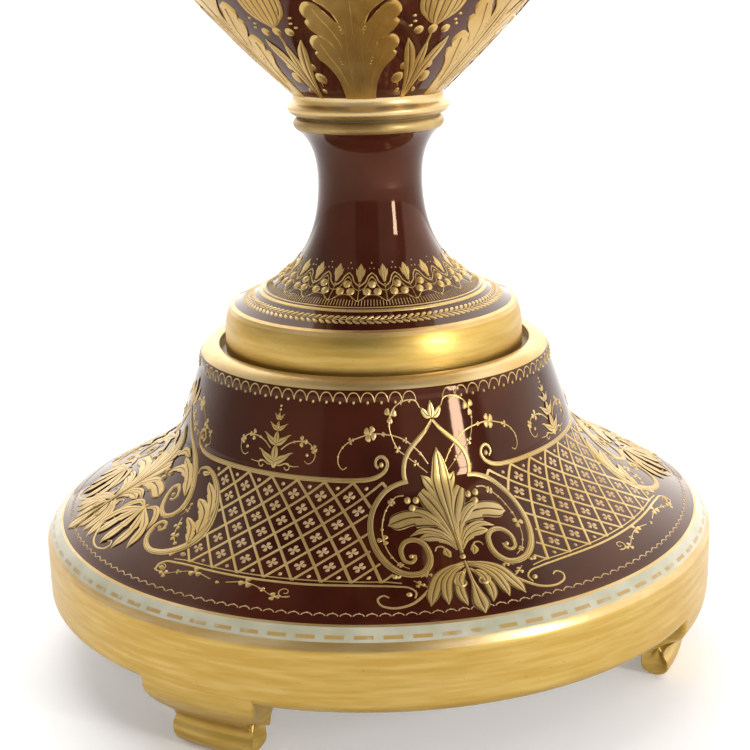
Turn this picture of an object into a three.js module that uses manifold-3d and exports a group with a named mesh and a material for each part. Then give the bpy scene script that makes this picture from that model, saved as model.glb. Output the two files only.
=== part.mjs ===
// Mantel urn of glazed and gilded porcelain, in three pieces that stand on one another:
//   plinth    a round stand: drum with a rolled rim, a concave flare, a banded wall, four feet
//   urn_foot  a round foot: a gilt disc, a waisted stem and a ring on top
//   urn_body  a hollow ovoid vessel: collar below, shoulder, neck and flared lip above
// Millimetres, +Z up. The origin is on the ground, under the middle of the plinth.
// The front of the ornament faces -Y.

import * as THREE from "three";
import Module from "manifold-3d";
import { mergeVertices } from "three/addons/utils/BufferGeometryUtils.js";

const wasm = await Module();
wasm.setup();

// ---- driving dimensions ----------------------------------------------------------------

const TURNS = 40; // flats around every turned shape
const JOINT_GAP = 0.3; // clearance between pieces that rest on one another
const WALL = 5; // thickness of the fired clay

// plinth
const FOOT_HEIGHT = 24; // ground to the lower edge of the wall
const WALL_RADIUS = 120; // the widest part of the object
const WALL_EDGE_ROUND = 3.4; // rounding along the lower edge of the wall
const WALL_TOP = 45.8;
const BAND_TOP = { r: 113.4, z: 51.6 }; // where the pale band meets the flare
const DRUM_FOOT = { r: 69.7, z: 83 };
const DRUM_TOP = { r: 62.5, z: 104.6 };
const RIM_ROUND = 5.8; // radius of the rolled rim
const RECESS_RADIUS = 55.2;
const RECESS_FLOOR = 107;

// bracket feet of the plinth
const FEET_SPREAD = 49; // degrees from the line through front and back to each foot
const FEET_TURN = 3.5; // degrees that the four feet are set round from the ornament's front
const EAR_HALF = 20.6; // half width where the foot leaves the wall
const WAIST_HALF = 14;
const ROLL_HALF = 14.8; // half width of the rolled toe
const TOE_HALF = 12.5; // half width where it stands on the ground
const ROLL = { r: 107.4, z: 4.4, radius: 4.8 }; // centre and radius of the rolled toe
const EYE = { radius: 1.7, stand: 1.0 }; // boss at each end of the roll

// urn foot
const DISC_RADIUS = 52.8;
const DISC_TOP = 123.4;
const DISC_EDGE = { r: 50.3, z: 124.6 };
const STEM = { r: 18.2, z: 167 }; // the narrowest place
const RING = { r: 26, z: 187.2 };
const FOOT_TOP = 189.3;

// urn body
const COLLAR_RADIUS = 27.9;
const COLLAR_LIP = 193.1;
const BOWL_START = { r: 26, z: 197.3 };
const BELLY = { r: 96, z: 300 };
const SHOULDER = { r: 51, z: 352 };
const NECK = { r: 36.5, z: 380 };
const LIP = { r: 57.5, z: 424 };
const WELL_FLOOR = 208; // inside of the vessel at its lowest point

// ---- profiles --------------------------------------------------------------------------

const at = (r, z) => new THREE.Vector2(r, z);

/** Points of a cubic curve in the (radius, height) plane, without its first point. */
function sweep(start, pullStart, pullEnd, end, count) {
  const curve = new THREE.CubicBezierCurve(start, pullStart, pullEnd, end);
  return curve.getPoints(count).slice(1);
}

/** Points of an arc in the (radius, height) plane, angles in degrees from +radius to +height. */
function arc(centre, radius, from, to, count) {
  const points = [];
  for (let i = 0; i <= count; i += 1) {
    const angle = THREE.MathUtils.degToRad(from + ((to - from) * i) / count);
    points.push(at(centre.x + radius * Math.cos(angle), centre.y + radius * Math.sin(angle)));
  }
  return points;
}

/** The same line moved inwards by a wall thickness, square to its own direction. */
function inside(line, thickness) {
  return line.map((point, i) => {
    const before = line[Math.max(i - 1, 0)];
    const after = line[Math.min(i + 1, line.length - 1)];
    const along = after.clone().sub(before).normalize();
    return at(point.x - along.y * thickness, point.y + along.x * thickness);
  });
}

/** Outline of the flare, from the pale band up to the foot of the drum. */
function flareLine(count) {
  const start = at(BAND_TOP.r, BAND_TOP.z);
  const end = at(DRUM_FOOT.r, DRUM_FOOT.z);
  return [start, ...sweep(start, at(96, 61.5), at(71.2, 72.2), end, count)];
}

/** Outline of the plinth: over the outside from the recess floor to the wall, back underneath. */
function plinthProfile() {
  const rimCentre = at(DRUM_TOP.r - RIM_ROUND, DRUM_TOP.z + 0.9);
  const edgeCentre = at(WALL_RADIUS - WALL_EDGE_ROUND, FOOT_HEIGHT + WALL_EDGE_ROUND);
  const innerRadius = edgeCentre.x - 1.4;
  const rim = arc(rimCentre, RIM_ROUND, 90, 0, 4);
  const flare = flareLine(7).reverse();
  const band = sweep(
    at(BAND_TOP.r, BAND_TOP.z),
    at(115.6, 50.6),
    at(118.6, 48.6),
    at(WALL_RADIUS - 0.4, WALL_TOP),
    2,
  );
  const wallEdge = arc(edgeCentre, WALL_EDGE_ROUND, 0, -90, 3);
  return [
    at(0, RECESS_FLOOR),
    at(RECESS_RADIUS, RECESS_FLOOR),
    at(RECESS_RADIUS, rimCentre.y + RIM_ROUND - 1.1),
    ...rim,
    at(DRUM_TOP.r - 0.1, DRUM_TOP.z),
    ...flare,
    ...band,
    at(WALL_RADIUS, WALL_TOP - 1),
    ...wallEdge,
    at(innerRadius, FOOT_HEIGHT),
    at(innerRadius, WALL_TOP - 3.4),
    at(100, 53),
    at(81, 63),
    at(67.5, 74),
    at(64, 84),
    at(DRUM_TOP.r - WALL, RECESS_FLOOR - WALL - 1),
    at(0, RECESS_FLOOR - WALL),
  ];
}

/** Outline of the urn's foot: bottom, gilt disc, stem and ring, back through the hollow. */
function footProfile() {
  const bottom = RECESS_FLOOR + JOINT_GAP;
  const edge = at(DISC_EDGE.r, DISC_EDGE.z);
  const waist = at(STEM.r, STEM.z);
  return [
    at(DISC_RADIUS - 6, bottom),
    at(DISC_RADIUS - 0.4, bottom),
    at(DISC_RADIUS, bottom + 1),
    at(DISC_RADIUS, DISC_TOP - 7),
    at(DISC_RADIUS - 0.7, DISC_TOP - 2.6),
    at(DISC_RADIUS - 1.5, DISC_TOP),
    edge,
    ...sweep(edge, at(34, 131), at(18.6, 139), waist, 7),
    ...sweep(waist, at(18.2, 174), at(19.4, 181), at(RING.r - 0.8, RING.z - 1.9), 4),
    at(RING.r, RING.z - 0.8),
    at(RING.r, RING.z + 0.2),
    at(RING.r - 0.8, FOOT_TOP - 0.5),
    at(RING.r - 1.7, FOOT_TOP),
    at(0, FOOT_TOP),
    at(0, FOOT_TOP - 7),
    at(12.5, STEM.z + 6),
    at(STEM.r - WALL, STEM.z - 6),
    at(16.5, 143),
    at(24.5, 132),
    at(36, 125),
    at(DISC_RADIUS - 6, 119.5),
    at(DISC_RADIUS - 6, bottom),
  ];
}

/** The outside of the vessel, from the top of the collar to the edge of the lip. */
function vesselLine() {
  const start = at(BOWL_START.r, BOWL_START.z);
  const belly = at(BELLY.r, BELLY.z);
  const shoulder = at(SHOULDER.r, SHOULDER.z);
  const neck = at(NECK.r, NECK.z);
  const lip = at(LIP.r - 1.2, LIP.z - 4);
  return {
    bowl: [start, ...sweep(start, at(52, 222), at(92, 262), belly, 7)],
    shoulder: sweep(belly, at(98.5, 325), at(84, 345), shoulder, 5),
    neck: sweep(at(SHOULDER.r - 3, SHOULDER.z + 4.5), at(39, 362), at(36.5, 371), neck, 3),
    flare: sweep(neck, at(36.5, 396), at(48, 410), lip, 4),
  };
}

/** Outline of the vessel: collar, outside, lip, and back down the inside to the well. */
function bodyProfile() {
  const base = FOOT_TOP + JOINT_GAP;
  const line = vesselLine();
  const outside = [...line.bowl, ...line.shoulder];
  const innerLine = inside(outside, WALL).slice(2, -1).filter((point, i) => i % 2 === 0);
  const innerWall = innerLine.reverse();
  const innerNeck = inside([...line.neck, ...line.flare], WALL - 1).slice(1, -1).reverse();
  return [
    at(0, base),
    at(24.6, base),
    at(COLLAR_RADIUS - 0.8, base + 1.3),
    at(COLLAR_RADIUS, COLLAR_LIP - 1),
    at(COLLAR_RADIUS, COLLAR_LIP),
    at(COLLAR_RADIUS - 1.2, COLLAR_LIP + 0.9),
    at(BOWL_START.r - 0.3, COLLAR_LIP + 2.4),
    ...outside,
    at(SHOULDER.r + 0.9, SHOULDER.z + 1.2),
    at(SHOULDER.r + 0.9, SHOULDER.z + 2.8),
    at(SHOULDER.r - 0.6, SHOULDER.z + 4.2),
    ...line.neck,
    ...line.flare,
    at(LIP.r, LIP.z - 2.6),
    at(LIP.r, LIP.z - 1),
    at(LIP.r - 1.4, LIP.z),
    at(LIP.r - 3.6, LIP.z - 0.6),
    ...innerNeck,
    at(SHOULDER.r - 8, SHOULDER.z - 1.5),
    ...innerWall,
    at(20, WELL_FLOOR + 0.8),
    at(0, WELL_FLOOR),
  ];
}

/** Cross-section of a bracket foot: upright inside; outside it leans in and rolls up at the toe. */
function footSection() {
  const innerTop = WALL_RADIUS - WALL_EDGE_ROUND - 1.3;
  const roll = arc(at(ROLL.r, ROLL.z), ROLL.radius, 50, -190, 8);
  return [
    at(innerTop, 31),
    at(WALL_RADIUS - 0.15, 29),
    at(WALL_RADIUS - 0.25, 24),
    at(119.2, 20.5),
    at(117.2, 17),
    at(114, 13.8),
    at(111.2, 11.2),
    ...roll,
    at(103.3, 17),
    at(105.5, 23),
    at(110, 27.5),
  ];
}

/** Front outline of a bracket foot, half of it: ears at the wall, a waist, the rolled toe. */
function footHalfOutline() {
  return [
    at(EAR_HALF, 30),
    at(EAR_HALF, 22),
    at(EAR_HALF - 0.8, 19.4),
    at(EAR_HALF - 2.6, 17.4),
    at(WAIST_HALF + 1, 15.2),
    at(WAIST_HALF, 12.2),
    at(WAIST_HALF + 0.2, 9.6),
    at(ROLL_HALF, 6.6),
    at(ROLL_HALF - 0.6, 3.2),
    at(TOE_HALF, 0),
    at(TOE_HALF - 0.6, -1),
  ];
}

// ---- solids ----------------------------------------------------------------------------

/** A closed three.js geometry as a manifold solid, with its faces pointing out. */
function solid(geometry) {
  geometry.deleteAttribute("normal");
  geometry.deleteAttribute("uv");
  const merged = mergeVertices(geometry, 1e-4);
  const corners = merged.attributes.position;
  const faces = [];
  let volume = 0;
  const [a, b, c] = [new THREE.Vector3(), new THREE.Vector3(), new THREE.Vector3()];
  for (let i = 0; i < merged.index.count; i += 3) {
    const [p, q, r] = [0, 1, 2].map((k) => merged.index.getX(i + k));
    if (p !== q && q !== r && r !== p) {
      faces.push([p, q, r]);
      a.fromBufferAttribute(corners, p);
      b.fromBufferAttribute(corners, q);
      c.fromBufferAttribute(corners, r);
      volume += a.dot(b.cross(c));
    }
  }
  const outward = volume > 0 ? faces : faces.map(([p, q, r]) => [p, r, q]);
  const mesh = new wasm.Mesh({
    numProp: 3,
    vertProperties: new Float32Array(corners.array),
    triVerts: new Uint32Array(outward.flat()),
  });
  return new wasm.Manifold(mesh);
}

/** A turned solid from a profile of (radius, height) points. */
function turned(profile) {
  const geometry = new THREE.LatheGeometry(profile, TURNS);
  geometry.rotateX(Math.PI / 2);
  return solid(geometry);
}

/** A manifold solid as a three.js geometry. */
function geometryOf(shape) {
  const mesh = shape.getMesh();
  const geometry = new THREE.BufferGeometry();
  const corners = new THREE.BufferAttribute(new Float32Array(mesh.vertProperties), 3);
  geometry.setAttribute("position", corners);
  geometry.setIndex(new THREE.BufferAttribute(new Uint32Array(mesh.triVerts), 1));
  geometry.computeVertexNormals();
  return geometry;
}

/** One bracket foot with its rolled toe and bosses, turned to an angle from the front. */
function bracketFoot(skirt, ground, degrees) {
  const half = footHalfOutline();
  const mirrored = half.map((point) => at(-point.x, point.y)).reverse();
  const outline = new THREE.Shape([...half, ...mirrored]);
  const depth = 40;
  const block = new THREE.ExtrudeGeometry(outline, { depth, bevelEnabled: false, steps: 1 });
  block.rotateX(Math.PI / 2);
  block.translate(0, -WALL_RADIUS + depth / 2 + 10, 0);
  const boss = new THREE.CylinderGeometry(EYE.radius, EYE.radius, 2 * (ROLL_HALF + EYE.stand), 8);
  boss.rotateZ(Math.PI / 2);
  boss.translate(0, -ROLL.r + 1.4, ROLL.z + 0.4);
  const turn = new THREE.Matrix4().makeRotationZ(THREE.MathUtils.degToRad(degrees));
  block.applyMatrix4(turn);
  boss.applyMatrix4(turn);
  return skirt.intersect(solid(block)).add(solid(boss)).subtract(ground);
}

/** The plinth with its four feet, each trimmed level with the ground. */
function plinth() {
  const section = footSection();
  const skirt = turned([...section, section[0].clone()]);
  const groundBox = new THREE.BoxGeometry(3 * WALL_RADIUS, 3 * WALL_RADIUS, 20);
  groundBox.translate(0, 0, -10);
  const ground = solid(groundBox);
  const angles = [FEET_SPREAD, 180 - FEET_SPREAD, 180 + FEET_SPREAD, 360 - FEET_SPREAD];
  const feet = angles.map((degrees) => bracketFoot(skirt, ground, degrees + FEET_TURN));
  return feet.reduce((whole, foot) => whole.add(foot), turned(plinthProfile()));
}

// ---- materials -------------------------------------------------------------------------

const maroonGlaze = new THREE.MeshStandardMaterial({
  color: "#4a1c14",
  roughness: 0.12,
  metalness: 0,
});
const gilding = new THREE.MeshStandardMaterial({
  color: "#c9a95c",
  roughness: 0.35,
  metalness: 1,
});

// ---- the urn ---------------------------------------------------------------------------

/** A named mesh of one piece. */
function piece(name, shape, material) {
  const mesh = new THREE.Mesh(geometryOf(shape), material);
  mesh.name = name;
  return mesh;
}

const urn = new THREE.Group();
urn.name = "mantel_urn";
urn.add(piece("plinth", plinth(), maroonGlaze));
urn.add(piece("urn_foot", turned(footProfile()), gilding));
urn.add(piece("urn_body", turned(bodyProfile()), maroonGlaze));

export default urn;
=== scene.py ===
"""Mantel urn: a gilt and glazed porcelain urn on a round stand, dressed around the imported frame.

The turned shapes are smooth surfaces of revolution, the raised gilding is thin tapered relief
laid on them, and every finish is worked out by nodes. Sizes in the dataclasses are in
millimetres; meshes are in metres. Azimuths are degrees from the front (-Y) towards +X.
"""

from __future__ import annotations

import logging
import math
from dataclasses import dataclass, field
from enum import Enum
from typing import Iterable, Sequence

import bpy
import numpy as np
from mathutils import Matrix, Vector


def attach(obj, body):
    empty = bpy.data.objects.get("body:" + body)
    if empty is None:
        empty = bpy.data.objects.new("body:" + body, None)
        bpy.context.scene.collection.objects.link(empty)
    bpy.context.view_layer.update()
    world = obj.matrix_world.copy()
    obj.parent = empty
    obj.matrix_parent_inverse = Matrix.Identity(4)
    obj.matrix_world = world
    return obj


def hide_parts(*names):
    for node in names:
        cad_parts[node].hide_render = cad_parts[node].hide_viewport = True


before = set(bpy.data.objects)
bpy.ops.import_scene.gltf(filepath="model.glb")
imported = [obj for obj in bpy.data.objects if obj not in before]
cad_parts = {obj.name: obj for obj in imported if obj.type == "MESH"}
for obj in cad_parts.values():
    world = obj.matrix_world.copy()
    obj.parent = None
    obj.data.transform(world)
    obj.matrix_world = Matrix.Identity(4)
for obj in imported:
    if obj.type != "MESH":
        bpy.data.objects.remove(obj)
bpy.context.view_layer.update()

MM = 0.001  # millimetres to metres
PLAIN = 0.5  # tooling value of a surface without a cut
SHARP_TURN = 35.0  # degrees at which an edge is crisp
STAND_UNROLLED = 86.83  # radius at which the stand's chart is unrolled
FOOT_UNROLLED = 31.7  # the same for the slope of the urn's foot
BOWL_UNROLLED = 40.66  # the same for the bowl
LOG = logging.getLogger("mantel_urn")
Pair = tuple[float, float]


# ---- curves ----------------------------------------------------------------------------


def bezier(start: Pair, pull_a: Pair, pull_b: Pair, end: Pair, count: int) -> np.ndarray:
    """Cubic curve: each point is the cube-weighted mean of the four given points.

    Args:
        start: First point.
        pull_a: Point that the curve leaves towards.
        pull_b: Point that the curve arrives from.
        end: Last point.
        count: Number of points.

    Returns:
        Array of (count, 2) points.
    """
    t = np.linspace(0.0, 1.0, count)[:, None]
    a, b, c, d = (np.array(p, float) for p in (start, pull_a, pull_b, end))
    return (1 - t) ** 3 * a + 3 * (1 - t) ** 2 * t * b + 3 * (1 - t) * t**2 * c + t**3 * d


def arc(centre: Pair, radius: float, start: float, end: float, count: int) -> np.ndarray:
    """Arc of a circle, angles in degrees from the first axis to the second.

    Args:
        centre: Centre of the circle.
        radius: Its radius.
        start: First angle.
        end: Last angle.
        count: Number of points.

    Returns:
        Array of (count, 2) points.
    """
    a = np.radians(np.linspace(start, end, count))
    return np.stack([centre[0] + radius * np.cos(a), centre[1] + radius * np.sin(a)], axis=1)


def smooth_path(knots: Sequence[Sequence[float]], count: int) -> np.ndarray:
    """Smooth curve through the knots: cubic pieces whose slope at a knot joins its neighbours.

    Args:
        knots: Points that the curve passes through, of any dimension.
        count: Number of points, evenly spread over the chord lengths.

    Returns:
        Array of (count, dimension) points.
    """
    k = np.array(knots, float)
    step = np.maximum(np.linalg.norm(np.diff(k, axis=0), axis=1), 1e-9)
    u = np.concatenate([[0.0], np.cumsum(step)])
    slope = np.gradient(k, u, axis=0)
    at = np.linspace(0.0, u[-1], count)
    i = np.clip(np.searchsorted(u, at, side="right") - 1, 0, len(u) - 2)
    h = (u[i + 1] - u[i])[:, None]
    t = (at - u[i])[:, None] / h
    return (
        (2 * t**3 - 3 * t**2 + 1) * k[i]
        + (t**3 - 2 * t**2 + t) * h * slope[i]
        + (3 * t**2 - 2 * t**3) * k[i + 1]
        + (t**3 - t**2) * h * slope[i + 1]
    )


def volute(eye: Pair, start: Pair, turns: float, inner: float, count: int) -> np.ndarray:
    """Spiral that winds from a start point in to an eye, its radius falling evenly.

    Args:
        eye: Centre of the spiral.
        start: First point.
        turns: Number of turns, positive from the first axis to the second.
        inner: Radius at the end.
        count: Number of points.

    Returns:
        Array of (count, 2) points.
    """
    dx, dy = start[0] - eye[0], start[1] - eye[1]
    t = np.linspace(0.0, 1.0, count)
    angle = math.atan2(dy, dx) + 2 * math.pi * turns * t
    radius = math.hypot(dx, dy) * (1 - t) + inner * t
    return np.stack([eye[0] + radius * np.cos(angle), eye[1] + radius * np.sin(angle)], axis=1)


# ---- meshes ----------------------------------------------------------------------------


@dataclass
class Shell:
    """Closed surfaces: points, faces as arrays with one face a row, a tooling value a point.

    Where the tooling value passes a whole number, a dark line is painted: the gilder's tooled line,
    and painted shade where it runs in the middle groove or along the sunk edge.
    """

    points: np.ndarray
    faces: list[np.ndarray]
    tooling: np.ndarray
    finish: list[np.ndarray] = field(default_factory=list)

    def volume(self) -> float:
        """Six times the enclosed volume, positive when the faces point outwards.

        Returns:
            The sum of a . (b x c) over all triangles a, b, c.
        """
        total = 0.0
        for block in self.faces:
            a = self.points[block[:, 0]]
            for k in range(1, block.shape[1] - 1):
                b, c = self.points[block[:, k]], self.points[block[:, k + 1]]
                total += float(np.einsum("ij,ij->", a, np.cross(b, c)))
        return total

    def outward(self) -> Shell:
        """The same shell with its faces pointing outwards.

        Returns:
            The shell itself.
        """
        if self.volume() < 0:
            self.faces = [block[:, ::-1] for block in self.faces]
        return self


def joined(shells: Iterable[Shell]) -> Shell:
    """Several shells as one, each keeping its own faces.

    Args:
        shells: Shells in the same units.

    Returns:
        One shell. Faces without a finish number get zero.
    """
    shells = list(shells)
    starts = np.cumsum([0] + [len(s.points) for s in shells[:-1]])
    faces = [block + start for s, start in zip(shells, starts) for block in s.faces]
    finish = [f for s in shells for f in (s.finish or [np.zeros(len(b), int) for b in s.faces])]
    points = np.concatenate([s.points for s in shells])
    return Shell(points, faces, np.concatenate([s.tooling for s in shells]), finish)


def grid_faces(rows: int, columns: int, wrap_rows: bool, wrap_columns: bool) -> np.ndarray:
    """Four-sided faces of a grid of points that are numbered row by row.

    Args:
        rows: Number of rows of points.
        columns: Points in a row.
        wrap_rows: Whether the last row joins the first.
        wrap_columns: Whether the last column joins the first.

    Returns:
        Array of (faces, 4) point numbers.
    """
    i = np.arange(rows if wrap_rows else rows - 1)[:, None]
    j = np.arange(columns if wrap_columns else columns - 1)[None, :]
    i2, j2 = (i + 1) % rows, (j + 1) % columns
    corners = [i * columns + j, i2 * columns + j, i2 * columns + j2, i * columns + j2]
    return np.stack([np.broadcast_to(c, (i.size, j.size)) for c in corners], -1).reshape(-1, 4)


def mesh_object(
    name: str, shell: Shell, materials: Sequence[bpy.types.Material]
) -> bpy.types.Object:
    """Puts a shell into a Blender object at the origin.

    Edges that turn by more than the sharp turn stay crisp.

    Args:
        name: Name of the piece.
        shell: Points in metres, with their faces.
        materials: One material for each finish number.

    Returns:
        The new object, linked to the scene.
    """
    mesh = bpy.data.meshes.new(name)
    sizes = np.concatenate([np.full(len(b), b.shape[1]) for b in shell.faces])
    corners = np.concatenate([b.ravel() for b in shell.faces]).astype(np.int32)
    starts = np.concatenate([[0], np.cumsum(sizes)[:-1]]).astype(np.int32)
    mesh.vertices.add(len(shell.points))
    mesh.vertices.foreach_set("co", shell.points.astype(np.float32).ravel())
    mesh.loops.add(len(corners))
    mesh.loops.foreach_set("vertex_index", corners)
    mesh.polygons.add(len(sizes))
    mesh.polygons.foreach_set("loop_start", starts)
    mesh.polygons.foreach_set("use_smooth", np.ones(len(sizes), bool))
    if shell.finish:
        mesh.polygons.foreach_set("material_index", np.concatenate(shell.finish).astype(np.int32))
    mesh.update(calc_edges=True)
    tooling = mesh.attributes.new("tooling", "FLOAT", "POINT")
    tooling.data.foreach_set("value", shell.tooling.astype(np.float32))
    for material in materials:
        mesh.materials.append(material)
    mesh.set_sharp_from_angle(angle=math.radians(SHARP_TURN))
    piece = bpy.data.objects.new(name, mesh)
    bpy.context.scene.collection.objects.link(piece)
    LOG.info("%s: %d points, %d faces", name, len(shell.points), len(sizes))
    return piece


def enrol(piece: bpy.types.Object, replaced: str | None = None) -> None:
    """Rides a piece on the root body and hides the solid that it stands for.

    Args:
        piece: The dressed piece.
        replaced: Name of the solid that it stands for, if any.
    """
    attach(piece, "root")
    if replaced:
        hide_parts(replaced)


# ---- turned shapes ---------------------------------------------------------------------


class Outline:
    """A turned profile drawn stretch by stretch, each stretch with a finish number."""

    def __init__(self, r: float, z: float) -> None:
        """Starts the profile at a radius and height."""
        self.points: list[np.ndarray] = [np.array([[r, z]], float)]
        self.zones: list[np.ndarray] = []

    def along(self, points: np.ndarray, finish: int) -> Outline:
        """Goes on through the given points, with one finish.

        Args:
            points: Rows of radius and height.
            finish: Finish number of the stretch.

        Returns:
            The outline itself.
        """
        last = self.points[-1][-1]
        if np.allclose(points[0], last):
            points = points[1:]
        self.points.append(points)
        self.zones.append(np.full(len(points), finish))
        return self

    def to(self, r: float, z: float, finish: int, step: float = 1.2) -> Outline:
        """Goes straight to a radius and height, in steps no longer than the given one.

        Args:
            r: Radius at the end.
            z: Height at the end.
            finish: Finish number of the stretch.
            step: Longest step.

        Returns:
            The outline itself.
        """
        last = self.points[-1][-1]
        count = max(2, int(math.hypot(r - last[0], z - last[1]) / step) + 1)
        return self.along(np.linspace(last, (r, z), count)[1:], finish)

    def turned(self, around: int) -> Shell:
        """The surface of revolution: radius times (sine, minus cosine) of the azimuth.

        An end of the profile that lies on the axis is closed by a fan.

        Args:
            around: Number of points in each ring.

        Returns:
            The shell in metres, with the finish of each face.
        """
        line = np.concatenate(self.points) * MM
        zone = np.concatenate(self.zones)
        on_axis = line[:, 0] < 1e-9
        phi = 2 * np.pi * np.arange(around) / around
        rings = line[~on_axis]
        x = rings[:, :1] * np.sin(phi)
        y = -rings[:, :1] * np.cos(phi)
        z = np.repeat(rings[:, 1:], around, axis=1)
        points = np.stack([x, y, z], -1).reshape(-1, 3)
        count = len(rings)
        start = int(on_axis[0])
        faces = [grid_faces(count, around, False, True)[:, ::-1]]
        finish = [np.repeat(zone[start : start + count - 1], around)]
        j = np.arange(around)
        for pole, ring in ((0, 0), (len(line) - 1, count - 1)):
            if on_axis[pole]:
                tip = len(points)
                points = np.concatenate([points, [[0.0, 0.0, line[pole, 1]]]])
                a, b = ring * around + j, ring * around + (j + 1) % around
                fan = np.stack([a, b, np.full(around, tip)], -1)
                faces.append(fan[:, ::-1] if pole == 0 else fan)
                finish.append(np.full(around, zone[0] if pole == 0 else zone[-1]))
        return Shell(points, faces, np.full(len(points), PLAIN), finish).outward()


@dataclass
class Chart:
    """Flat coordinates on a turned surface, for laying relief on it.

    x runs round the object and is measured at the nominal radius, or at the surface itself
    where there is none; y runs down the profile from its zero point; lift stands square off it.
    """

    line: np.ndarray
    nominal: float | None
    zero: float = 0.0

    def __post_init__(self) -> None:
        """Works out the distance along the profile and its outward direction."""
        step = np.linalg.norm(np.diff(self.line, axis=0), axis=1)
        self.along = np.concatenate([[0.0], np.cumsum(step)]) - self.zero
        slope = np.gradient(self.line, self.along, axis=0)
        slope /= np.linalg.norm(slope, axis=1)[:, None]
        self.out = np.stack([-slope[:, 1], slope[:, 0]], axis=1)

    def place(self, points: np.ndarray, azimuth: float) -> np.ndarray:
        """Maps (x, y, lift) rows to the object: out from the profile, then round by x.

        Args:
            points: Rows of x, y and lift in millimetres.
            azimuth: Degrees from the front at which x is zero.

        Returns:
            Rows of points in metres.
        """
        x, y, lift = points[:, 0], points[:, 1], points[:, 2]
        r = np.interp(y, self.along, self.line[:, 0])
        z = np.interp(y, self.along, self.line[:, 1])
        out_r = np.interp(y, self.along, self.out[:, 0])
        out_z = np.interp(y, self.along, self.out[:, 1])
        phi = math.radians(azimuth) + x / (self.nominal or r)
        r = r + out_r * lift
        return np.stack([r * np.sin(phi), -r * np.cos(phi), z + out_z * lift], axis=1) * MM

    def lay(self, relief: Shell, azimuths: Iterable[float]) -> Shell:
        """A relief laid on the surface, once with its zero at each azimuth.

        Args:
            relief: A relief in flat coordinates.
            azimuths: Degrees from the front.

        Returns:
            One shell in metres with every copy.
        """
        laid = [
            Shell(self.place(relief.points, a), list(relief.faces), relief.tooling, relief.finish)
            for a in azimuths
        ]
        return joined(laid).outward()

    def radius(self, y: np.ndarray) -> np.ndarray:
        """Radius of the surface at y."""
        return np.interp(y, self.along, self.line[:, 0])


# ---- finishes --------------------------------------------------------------------------


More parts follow.
